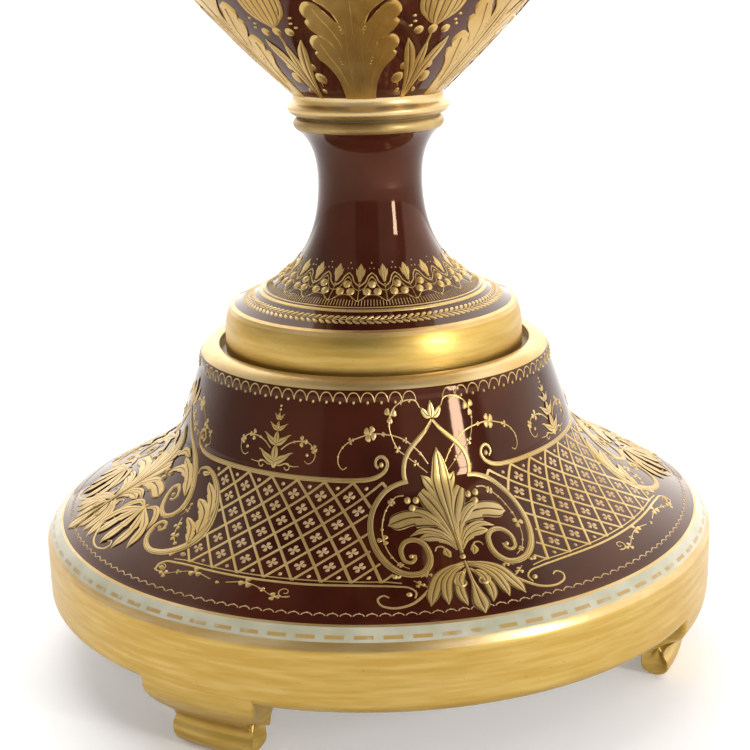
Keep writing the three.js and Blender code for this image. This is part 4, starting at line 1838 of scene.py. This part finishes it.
@dataclass(frozen=True)
class BowlDecor:
    """Standing acanthus leaves on the bowl with tulips between them."""

    leaves: int = 6
    first: float = -21.0
    height: float = 0.4

    def outline(self) -> list[tuple[float, float, float]]:
        """Right edge of a standing leaf: the same notched lobe five times over, on its base.

        Each lobe goes out and up from the slit under it, dips at a notch and curls back.

        Returns:
            Rows of x, y and the y where the vein to that point starts.
        """
        lobe = ((0.12, 0.24), (0.32, 0.46), (0.65, 0.61), (0.88, 0.79), (0.92, 0.93), (0.79, 1.0),
                (0.93, 1.13), (0.89, 1.31), (0.66, 1.45), (0.38, 1.41), (0.12, 1.2))
        edge = [(7.7, 47.4, 47.4), (7.6, 42, 46), (8.1, 37, 45)]
        for x, y, wide, tall, low, high in (
            (5.8, 39, 7.6, 15.6, 44, 37.4), (5.5, 25.2, 6.8, 16, 36.6, 24),
            (3.6, 11, 6.9, 16.4, 22.6, 8), (3.0, -4.5, 5.8, 15.5, 6.4, -14),
            (2.5, -20.6, 3.6, 12, -15, -34),
        ):
            near = lobe[2:] if y > 30 else ((0.0, 0.0), *lobe)
            for k, (out, up) in enumerate(near):
                edge.append((x + out * wide, y - up * tall, low + (high - low) * k / (len(near) - 1)))
        return [*edge, (1.5, -41.5, -38), (0.2, -45, -44)]

    def leaf(self) -> Relief:
        """One broad standing leaf with its veins and the drops under its slits.

        Returns:
            The relief, its x zero on the midrib.
        """
        whole = Relief().blade(self.outline(), self.height, 220)
        lines = (([(0, 45), (0, 20), (0, -8), (0, -40)], 0.17),
                 ([(2.2, 43), (2.3, 30), (2.0, 18), (1.6, 8)], 0.11),
                 ([(4.6, 40), (6.2, 32), (8.2, 26), (9.6, 20)], 0.1),
                 ([(3.4, 22), (5.2, 15), (7.4, 9), (8.6, 5)], 0.1))
        half = Relief()
        for knots, wide in lines:
            half.ribbon(smooth_path(knots, 30), [wide, wide, 0.06], self.height * 1.25)
        for x, y in ((5.2, 26.8), (3.3, 12.6), (2.8, -2.9)):
            drops = [(x, y), (x - 0.25, y + 1.5), (x - 0.5, y + 2.9)]
            half.beads(drops, 0.42, self.height * 1.5, 8)
        return whole.mirrored(half)

    def tulip(self) -> Relief:
        """What stands between two leaves: a calyx, round leaves, three ovals and a tulip.

        Returns:
            The relief, its x zero on the stalk.
        """
        half = Relief()
        half.leaf([(0.7, 47), (2.0, 36), (4.0, 27), (6.2, 18.6)], (0.4, 1.3, 2.0, 1.9, 0.2), 0.34, 1.0,
                  30, 0.05)
        oval = template_bead(14, 3)
        half.stamps(oval, np.array([(5.9, 37.2)]), 70.0, 3.0, 2.5, 0.36)
        half.stamps(oval, np.array([(4.6, 31.2), (4.2, 43.6)]), 60.0, [2.3, 1.4], [1.6, 1.0], 0.32)
        half.leaf([(4.6, 41.5), (5.6, 38), (6.2, 34.6)], (0.1, 0.3, 0.1), 0.5, 0, 10)
        half.stamps(oval, np.array([(3.9, 15.2)]), 90.0, 1.9, 1.4, 0.42)
        half.leaf([(1.2, 12), (3.9, 7), (4.6, 0), (4.4, -6), (5.4, -12)],
                  (0.4, 1.2, 1.3, 1.1, 0.1), 0.34, 1.0, 24)
        half.beads([(5.6, 11.4), (6.1, 9), (6.5, 13.2)], 0.6, 0.34, 8)
        half.vine([(3.4, -11), (7, -14), (10, -19), (9, -25), (5.4, -26)], 0.3, 0.2,
                  [(1, 1.9, 3), (2, 0.7, 1), (3, 2.2, 3)])
        whole = Relief().mirrored(half)
        whole.leaf([(0, 47.4), (0, 40), (0, 32), (0, 26), (0, 20)], (0.8, 1.2, 1.9, 1.5, 0.2), 0.3,
                   1.0, 30)
        whole.stamps(oval, np.array([(0, 15)]), 90.0, 2.1, 1.45, 0.42)
        whole.leaf([(0, 12.8), (0, 9), (0, 3), (0, -4), (0, -11)], (0.9, 3.9, 4.3, 3.4, 0.3), 0.4,
                   2.6, 30, 0.04)
        whole.ribbon(smooth_path([(0, 22), (0, 19), (0, 17)], 8), [0.4, 0.3], 0.3)
        return whole.beads([(0, -13), (0, -15)], 0.6, 0.4, 8)


def gild(plinth: Plinth, foot: UrnFoot, vessel: Vessel, palette: Palette) -> None:
    """Lays all the raised gilding on the three turned shapes.

    Args:
        plinth: The stand.
        foot: The urn's foot.
        vessel: The vessel.
        palette: The materials.
    """
    fronts, sides, panels = np.array([0, 180]), np.array([90, 270]), around_circle(4) + 45
    flat = plinth.chart()
    true = Chart(flat.line, None, flat.zero)
    cartouche, leafy, trellis, borders = Cartouche(), LeafyCartouche(), Trellis(), Borders()
    slope, arcade = foot.chart(), FootDecor()
    bowl, growth = vessel.chart(), BowlDecor()
    arches, sprigs = around_circle(arcade.arches), around_circle(arcade.sprigs)
    leaves = growth.first + around_circle(growth.leaves)
    stand, base, body = "plinth_porcelain", "gilt_porcelain", "maroon_glaze"
    lattice, florets = trellis.lattice(true), trellis.florets(true)
    plain_bands, leafy_bands = trellis.bands(15.2), trellis.bands(47.4)
    side_spray = Relief().added(cartouche.spray(), 5.0)

    def both_ways(relief: Relief) -> Shell:
        """A panel's relief on all four panels, mirrored on every other one."""
        near = true.lay(relief.shell(), [-45, 135])
        return joined([near, true.lay(relief.flipped().shell(), [45, 225])])

    def on(chart: Chart, relief: Relief, azimuths: Iterable[float]) -> Shell:
        """A relief laid on a chart at each azimuth."""
        return chart.lay(relief.shell(), azimuths)

    bands = joined([on(flat, plain_bands, fronts), on(flat, leafy_bands, sides)])
    sprays = joined([on(flat, cartouche.spray(), fronts), on(flat, side_spray, sides)])
    pieces = [
        ("cartouche_frames", on(flat, cartouche.frame(), fronts), stand, palette.relief),
        ("leafy_frames", on(flat, leafy.frame(), sides), stand, palette.relief),
        ("leafy_growth", on(flat, leafy.growth(), sides), stand, palette.relief),
        ("acanthus_sprays", sprays, stand, palette.relief),
        ("cartouche_vines", on(flat, cartouche.vines(), fronts), stand, palette.relief),
        ("pendant_leaves", on(flat, cartouche.pendant(), around_circle(4)), stand, palette.relief),
        ("trellis_lines", both_ways(lattice), stand, palette.relief),
        ("trellis_florets", both_ways(florets), stand, palette.fine),
        ("trellis_bands", bands, stand, palette.relief),
        ("palmettes", on(flat, trellis.palmette(), panels), stand, palette.relief),
        ("undergrowth", on(flat, trellis.undergrowth(), panels), stand, palette.relief),
        ("rim_border", on(flat, borders.rim(), around_circle(4)), stand, palette.relief),
        ("flare_border", on(flat, borders.flare(), around_circle(4)), stand, palette.fine),
        ("foot_arcade", on(slope, arcade.arcade(), arches), base, palette.relief),
        ("foot_comb", on(slope, arcade.comb(), arches), base, palette.relief),
        ("foot_laurel", on(slope, arcade.laurel(), sprigs), base, palette.relief),
        ("foot_rings", on(slope, arcade.rings(), [0.0]), base, palette.relief),
        ("bowl_leaves", on(bowl, growth.leaf(), leaves), body, palette.leafing),
        ("bowl_tulips", on(bowl, growth.tulip(), leaves + 30), body, palette.leafing),
    ]
    for name, shell, slot, material in pieces:
        enrol(mesh_object(name, shell, [material]))


# ---- room ------------------------------------------------------------------------------


@dataclass(frozen=True)
class Studio:
    """Pale floor, soft lights and the camera."""

    distance: float = 531.0
    eye_height: float = 247.0
    azimuth: float = -16.0
    dip: float = 15.88
    roll: float = -1.44
    lens: float = 73.4
    sweep: float = 2.9
    room: tuple[Pair, ...] = (
        (-180, 2.9), (180, 2.9), (-150, 2.4), (-128, 1.2), (-100, 0.65), (-35, 0.6), (-31, 0.18),
        (13, 0.18), (17, 0.75), (44, 0.8), (57, 0.3), (66, 0.3), (71, 1.8), (124, 1.8), (150, 2.6),
    )

    def camera(self) -> None:
        """A camera that looks at the axis from a little above, slightly tilted."""
        a, d, w = (math.radians(v) for v in (self.azimuth, self.dip, self.roll))
        place = Vector((math.sin(a), -math.cos(a), 0)) * self.distance
        place.z = self.eye_height
        ahead = Vector((-math.sin(a) * math.cos(d), math.cos(a) * math.cos(d), -math.sin(d)))
        right = ahead.cross(Vector((0, 0, 1))).normalized()
        up = right.cross(ahead)
        side = math.cos(w) * right + math.sin(w) * up
        top = -math.sin(w) * right + math.cos(w) * up
        data = bpy.data.cameras.new("camera")
        data.sensor_width = 36.0
        data.lens = self.lens
        data.clip_start, data.clip_end = 0.01, 200.0
        camera = bpy.data.objects.new("camera", data)
        turn = Matrix((side, top, -ahead)).transposed().to_4x4()
        camera.matrix_world = Matrix.Translation(place * MM) @ turn
        bpy.context.scene.collection.objects.link(camera)
        bpy.context.scene.camera = camera

    def floor(self) -> None:
        """A wide pale floor."""
        n = Nodes("pale_floor")
        n.surface.inputs["Base Color"].default_value = (0.93, 0.93, 0.95, 1)
        n.surface.inputs["Emission Color"].default_value = (0.95, 0.97, 1.0, 1)
        n.surface.inputs["Emission Strength"].default_value = 0.14
        n.surface.inputs["Roughness"].default_value = 0.85
        mesh = bpy.data.meshes.new("floor")
        reach = 60.0
        corners = [(-reach, -reach, 0), (reach, -reach, 0), (reach, reach, 0), (-reach, reach, 0)]
        mesh.from_pydata(corners, [], [(0, 1, 2, 3)])
        mesh.materials.append(n.material)
        floor = bpy.data.objects.new("floor", mesh)
        bpy.context.scene.collection.objects.link(floor)

    def lamp(self, name: str, azimuth: float, height: float, reach: float,
             size: Pair, power: float, mirrored: bool = True, aim: float = 0.15) -> None:
        """A soft rectangular lamp that faces the axis.

        Args:
            name: Name of the lamp.
            azimuth: Degrees from the camera's direction, positive to its right.
            height: Height in metres.
            reach: Distance from the axis in metres.
            size: Width and height in metres.
            power: Watts.
            mirrored: Whether glossy surfaces show it.
            aim: Height on the axis that it faces, in metres.
        """
        a = math.radians(self.azimuth + azimuth)
        place = Vector((math.sin(a) * reach, -math.cos(a) * reach, height))
        data = bpy.data.lights.new(name, "AREA")
        data.shape = "RECTANGLE"
        data.size, data.size_y = size
        data.energy = power
        lamp = bpy.data.objects.new(name, data)
        lamp.location = place
        lamp.visible_glossy = mirrored
        lamp.rotation_mode = "QUATERNION"
        lamp.rotation_quaternion = (Vector((0, 0, aim)) - place).to_track_quat("-Z", "Y")
        bpy.context.scene.collection.objects.link(lamp)

    def light(self) -> None:
        """A bright sweep behind, a dim side towards the camera, a dark ceiling and two lamps.

        The surroundings are read by direction: one ramp goes round by azimuth, a second one
        dims everything high overhead. The overhead lamp is not mirrored in the glaze.
        """
        scene = bpy.context.scene
        scene.view_settings.view_transform = "Standard"
        world = bpy.data.worlds.new("white_room")
        world.use_nodes = True
        scene.world = world
        tree = world.node_tree
        coords = tree.nodes.new("ShaderNodeTexCoord").outputs["Generated"]
        a = math.radians(self.azimuth)

        def part(axis: tuple[float, float, float]) -> bpy.types.NodeSocket:
            """How far the direction goes along an axis.

            Args:
                axis: Unit vector.

            Returns:
                The component.
            """
            node = tree.nodes.new("ShaderNodeVectorMath")
            node.operation = "DOT_PRODUCT"
            node.inputs[1].default_value = axis
            tree.links.new(coords, node.inputs[0])
            return node.outputs["Value"]

        def ramp(source: bpy.types.NodeSocket, stops: Sequence[tuple[float, float]]
                 ) -> bpy.types.NodeSocket:
            """A grey ramp with the given stops.

            Args:
                source: The value, 0 to 1.
                stops: Places and brightness.

            Returns:
                The grey.
            """
            node = tree.nodes.new("ShaderNodeValToRGB")
            for index, (place, value) in enumerate(stops):
                stop = (node.color_ramp.elements[index] if index < 2
                        else node.color_ramp.elements.new(place))
                stop.position = place
                stop.color = (value, value * 0.98, value * 0.95, 1)
            tree.links.new(source, node.inputs["Fac"])
            return node.outputs["Color"]

        angle = tree.nodes.new("ShaderNodeMath")
        angle.operation = "ARCTAN2"
        tree.links.new(part((math.cos(a), math.sin(a), 0)), angle.inputs[0])
        tree.links.new(part((math.sin(a), -math.cos(a), 0)), angle.inputs[1])
        round_about = tree.nodes.new("ShaderNodeMapRange")
        round_about.inputs["From Min"].default_value = -math.pi
        round_about.inputs["From Max"].default_value = math.pi
        tree.links.new(angle.outputs[0], round_about.inputs["Value"])
        side = ramp(round_about.outputs["Result"],
                    [(0.5 + degrees / 360, level / self.sweep) for degrees, level in self.room])
        high = ramp(part((0, 0, 1)), [(0.82, 1.0), (0.91, 0.10)])
        both = tree.nodes.new("ShaderNodeMix")
        both.data_type = "RGBA"
        both.blend_type = "MULTIPLY"
        both.inputs["Factor"].default_value = 1.0
        tree.links.new(side, both.inputs["A"])
        tree.links.new(high, both.inputs["B"])
        back = tree.nodes["Background"]
        tree.links.new(both.outputs["Result"], back.inputs["Color"])
        back.inputs["Strength"].default_value = self.sweep
        self.lamp("strip_right", 49, 0.45, 1.5, (0.18, 0.6), 12)
        self.lamp("soft_overhead", -150, 2.3, 0.8, (1.6, 1.6), 26, mirrored=False)


def main() -> None:
    """Builds the pieces in order, then the room around them."""
    logging.basicConfig(level=logging.INFO, format="%(message)s")
    studio = Studio()
    studio.camera()
    palette = Palette.mixed()
    plinth, foot, vessel = Plinth(), UrnFoot(), Vessel()
    for part in (plinth, foot, vessel):
        part.build(palette)
    gild(plinth, foot, vessel, palette)
    studio.floor()
    studio.light()


if __name__ == "__main__":
    main()
